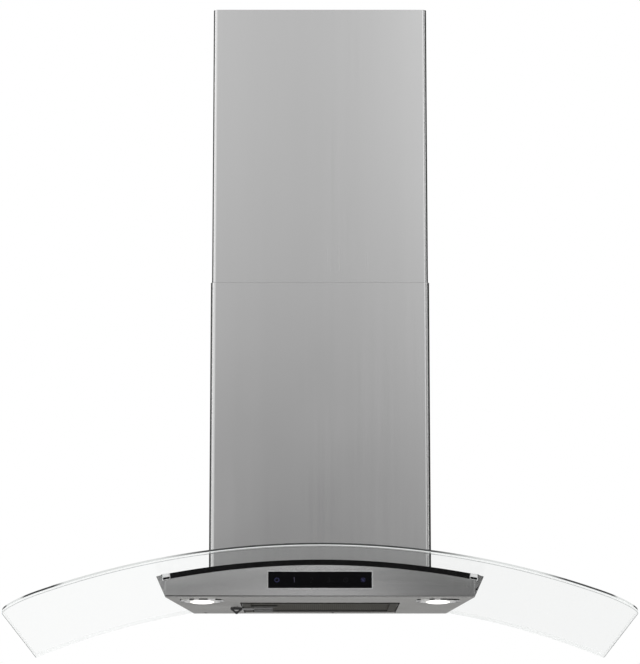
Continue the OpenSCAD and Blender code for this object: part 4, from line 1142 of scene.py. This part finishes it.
def fill_filter_gap_shade(shape):
    """A black band along the front and the sides of the filter's opening, open where the latch slides: painted
    shade in the gap round the filter.
    """
    start, along, down = tray_surface()
    inner = abs(low_corner("filter_frame").x) + 0.6 * MM
    outer = inner + 0.7 * MM

    def reach(y):
        return (y - start.y) / along.y
    front = reach(low_corner("filter_frame").y - 1.1 * MM)
    rear = reach(high_corner("filter_frame").y + 0.8 * MM)
    latch_front = reach(low_corner("filter_latch").y - 1.5 * MM)
    latch_rear = reach(high_corner("filter_latch").y + 1.5 * MM)
    step = outer - inner
    chains = [
        [((-inner, latch_front), (-outer, latch_front)), ((-inner, front), (-outer, front - step)),
         ((inner, front), (outer, front - step)), ((inner, rear), (outer, rear))],
        [((-inner, rear), (-outer, rear)), ((-inner, latch_rear), (-outer, latch_rear))],
    ]

    def place(point, depth):
        return shape.verts.new(start + Vector((point[0], 0, 0)) + along * point[1] + down * depth)
    for chain in chains:
        lay_skin(shape, [[place(a, GAP_SHADE_SUNK), place(a, GAP_SHADE_H), place(b, GAP_SHADE_H), place(b, GAP_SHADE_SUNK)]
                         for a, b in chain])


FOLD_ANGLE = math.radians(25)
FOLD_SINE = 0.42


def fill_corner_dark_patch(shape):
    """A black patch at the corner where the right end of the front panel is folded: a painted dark reflection."""
    front = low_corner("front_panel").y
    fold = 185.5 * MM
    lean = math.tan(FOLD_ANGLE)
    points = [(186.3, -190.4), (186.4, -186.2), (190.8, -182.0), (189.6, -184.6)]
    lay_skin(shape, [[shape.verts.new(
        (x * MM + proud * FOLD_SINE, front + (x * MM - fold) * lean - proud, z * MM)) for x, z in points]
        for proud in (0.06 * MM, -0.3 * MM)])


# Black marks on the tray behind the filter, painted shade: middle, width, front and rear
REAR_MARK_SHADES = ((17.0 * MM, 1.6 * MM, -29.5 * MM, -9.0 * MM), (-150.5 * MM, 2.6 * MM, -24.0 * MM, -9.0 * MM))


def fill_rear_mark_shades(shape):
    start, along, down = tray_surface()
    for x, width, first, last in REAR_MARK_SHADES:
        half = width / 2
        corners = [(x - half, first), (x + half, first), (x + half, last), (x - half, last)]
        lay_skin(shape, [[shape.verts.new(
            start + Vector((u, 0, 0)) + along * ((v - start.y) / along.y) + down * depth)
            for u, v in corners] for depth in (-0.2 * MM, 0.25 * MM)])


def add_shade_and_glint_pieces():
    add_clip_shade_and_strip()
    # Black marks of painted shade behind the filter
    add_piece("rear_painted_shade", fill_rear_mark_shades, finish["black_foam"], "hood")
    for side, word in ((-1, "left"), (1, "right")):
        # Black arcs round each ring: painted shade
        lamp_shade = fill_lamp_arcs(side, LAMP_SHADE_ARCS[side], 0.05 * MM, LAMP_SHADE_H)
        add_piece("lamp_painted_shade_" + word, lamp_shade, finish["black_foam"], "hood")
        # White arcs by each ring: painted glints
        lamp_glints = fill_lamp_arcs(side, LAMP_GLINT_ARCS[side], 0.3 * MM, LAMP_GLINT_H)
        add_piece("lamp_painted_glint_" + word, lamp_glints, finish["white_plastic"], "hood")
    # A black band of painted shade round the filter's opening, and a black patch of painted dark reflection at the
    # folded corner
    for name, fill in (("filter_gap_shade", fill_filter_gap_shade), ("corner_painted_reflection", fill_corner_dark_patch)):
        add_piece(name, fill, finish["black_foam"], "hood")


# A darker band round the top of the lower cover's outer face: the sheet's cut edge, and painted shade at its joint
# with the upper cover

TOP_BAND_H = 0.5 * MM
TOP_BAND_PROUD = 0.04 * MM
COVER_BEND = 6.5 * MM


def fill_top_band(shape):
    low, high = low_corner("lower_cover"), high_corner("lower_cover")
    rim = {(round(v.co.x, 6), round(v.co.y, 6)) for v in frame["nodes"]["lower_cover"].data.vertices
           if high.z - v.co.z < 0.01 * MM}
    right = sorted((p for p in rim if p[0] > 0 and is_outer(p, low, high)), key=lambda p: (-p[1], p[0]))
    path = right + [(-x, y) for x, y in reversed(right)]
    loops = []
    for k, (x, y) in enumerate(path):
        before, after = Vector(path[max(k - 1, 0)]), Vector(path[min(k + 1, len(path) - 1)])
        along = (after - before).normalized()
        out = Vector((along.y, -along.x)) * TOP_BAND_PROUD
        if out.dot(Vector((x, y + 0.1))) < 0:
            out = -out
        section = ((1, high.z), (1, high.z - TOP_BAND_H), (-1, high.z - TOP_BAND_H), (-1, high.z))
        loops.append([shape.verts.new((x + sign * out.x, y + sign * out.y, z)) for sign, z in section])
    lay_skin(shape, loops)


def is_outer(point, low, high):
    """True for a rim point on the outside of the bent sheet."""
    x, y = abs(point[0]), point[1]
    if x > high.x - 0.01 * MM or y < low.y + 0.01 * MM:
        return True
    past_x, past_y = x - (high.x - COVER_BEND), low.y + COVER_BEND - y
    return past_x > 0 and past_y > 0 and math.hypot(past_x, past_y) > COVER_BEND - 0.05 * MM


add_piece("cover_top_shade_band", fill_top_band, finish["cut_sheet"], "hood")


# Grease filter: two sheets of expanded metal in place of the plain grid

def filter_directions():
    """The filter's directions: across it, along it and into the body."""
    swing = next(j for j in frame["joints"] if j["name"] == "filter_swing")
    across, along = Vector((1, 0, 0)), -Vector(swing["axis"])
    return across, along, across.cross(along)


MESH_CELL_W = 5.0 * MM
MESH_CELL_L = 9.0 * MM
STRAND_W = 1.1 * MM
STRAND_T = 0.45 * MM


def add_strand(shape, start, end, inward, tilt):
    """One flat strand of expanded metal, tilted out of the sheet as the die leaves it."""
    along = (end - start).normalized()
    flat = along.cross(inward).normalized()
    wide = (flat * math.cos(tilt) + inward * math.sin(tilt)) * STRAND_W / 2
    thick = (inward * math.cos(tilt) - flat * math.sin(tilt)) * STRAND_T / 2
    corners = ((-1, -1), (1, -1), (1, 1), (-1, 1))
    lay_skin(shape, [[shape.verts.new(p + a * wide + b * thick) for a, b in corners] for p in (start, end)])


def expanded_sheet(depth, width, length, lean):
    across, along, inward = filter_directions()
    columns, rows = int(width / MESH_CELL_W), int(length / MESH_CELL_L)
    cell_x, cell_y = across * (width / columns), along * (length / rows)
    start = centre("filter_mesh") - cell_x * (columns / 2) - cell_y * (rows / 2) + inward * depth

    def fill(shape):
        for i in range(columns):
            for j in range(rows):
                corner = start + cell_x * i + cell_y * j
                bottom, left = corner + cell_x / 2, corner + cell_y / 2
                right, top = corner + cell_x + cell_y / 2, corner + cell_x / 2 + cell_y
                for a, b, tilt in ((bottom, right, lean), (bottom, left, -lean), (left, top, lean),
                                   (right, top, -lean)):
                    add_strand(shape, a, b, inward, tilt)
    return fill


def add_filter_sheets():
    low, high = low_corner("filter_mesh"), high_corner("filter_mesh")
    _, along, _ = filter_directions()
    length = (high.y - low.y) / along.y - 8 * MM
    for name, depth, lean, solid in (
        ("filter_sheet_outer", -1.6 * MM, 0.5, ["filter_mesh"]), ("filter_sheet_inner", 1.6 * MM, -0.5, ()),
    ):
        sheet = expanded_sheet(depth, high.x - low.x, length, lean)
        add_piece(name, sheet, finish["filter_alloy"], "filter", solid)


add_filter_sheets()
add_shade_and_glint_pieces()
add_lamp_fronts()


# The latch: its bar, and a pull bent from strip as an open V

PULL_W = 15 * MM
PULL_DEPTH = 7.6 * MM
PULL_HALF = 5 * MM
PULL_WALL = 2.0 * MM
PULL_SIDE = 3.2 * MM      # the strip's thickness where it slopes, level with its rim
VALLEY_HALF = 0.9 * MM
VALLEY_H = 3.4 * MM
TIP_R = 2.5 * MM
BAR_LAP = 1.5 * MM
BAR_SUNK = 0.3 * MM
BAR_T = 2.2 * MM
BAR_HALF = 4 * MM
BAR_CHAMFER = 0.6 * MM


def latch_place():
    """Places a point of the latch: across from the pull's right edge, out of the tray and along it."""
    low, high = low_corner("filter_latch"), high_corner("filter_latch")
    across, along, inward = filter_directions()
    rise = PULL_HALF * abs(along.z) / along.y
    seat = Vector((low.x + PULL_W, (low.y + high.y) / 2, high.z - rise))
    return lambda u, w, v: seat + across * u + along * v + inward * w


def fill_latch(shape):
    place, middle = latch_place(), -PULL_W / 2
    tip = [(middle + TIP_R * math.cos(a), -PULL_DEPTH + TIP_R + TIP_R * math.sin(a))
           for a in (math.radians(-20 - 140 * i / 10) for i in range(11))]
    outer = [(-PULL_W, 0), (0, 0), (0, -PULL_WALL)] + tip + [(-PULL_W, -PULL_WALL)]
    valley = -PULL_DEPTH + VALLEY_H
    inner = [(-PULL_W + PULL_SIDE, -PULL_WALL), (-PULL_SIDE, -PULL_WALL),
             (middle + VALLEY_HALF, valley), (middle - VALLEY_HALF, valley)]
    sides = [[[shape.verts.new(place(u, w, v)) for u, w in rim] for rim in (outer, inner)]
             for v in (-PULL_HALF, PULL_HALF)]
    for a, b in zip(*sides):
        for k in range(len(a)):
            n = (k + 1) % len(a)
            shape.faces.new((a[k], a[n], b[n], b[k]))
    for rims in sides:
        edges = [shape.edges.get((ring[k - 1], ring[k])) for ring in rims for k in range(len(ring))]
        bmesh.ops.triangle_fill(shape, edges=edges, use_beauty=True)


def fill_latch_bar(shape):
    place = latch_place()
    end = high_corner("filter_latch").x - low_corner("filter_latch").x - PULL_W
    rings = []
    for u, inset in ((-BAR_LAP, 0.0), (end - BAR_CHAMFER, 0.0), (end, BAR_CHAMFER)):
        half = BAR_HALF - inset
        rings.append([shape.verts.new(place(u, w, v)) for v, w in (
            (-half, -BAR_SUNK), (half, -BAR_SUNK), (half, -BAR_T), (-half, -BAR_T))])
    lay_skin(shape, rings)


add_piece("latch_pull", fill_latch, finish["dark_plastic"], "latch", ["filter_latch"])
add_piece("latch_bar", fill_latch_bar, finish["motor_steel"], "latch")
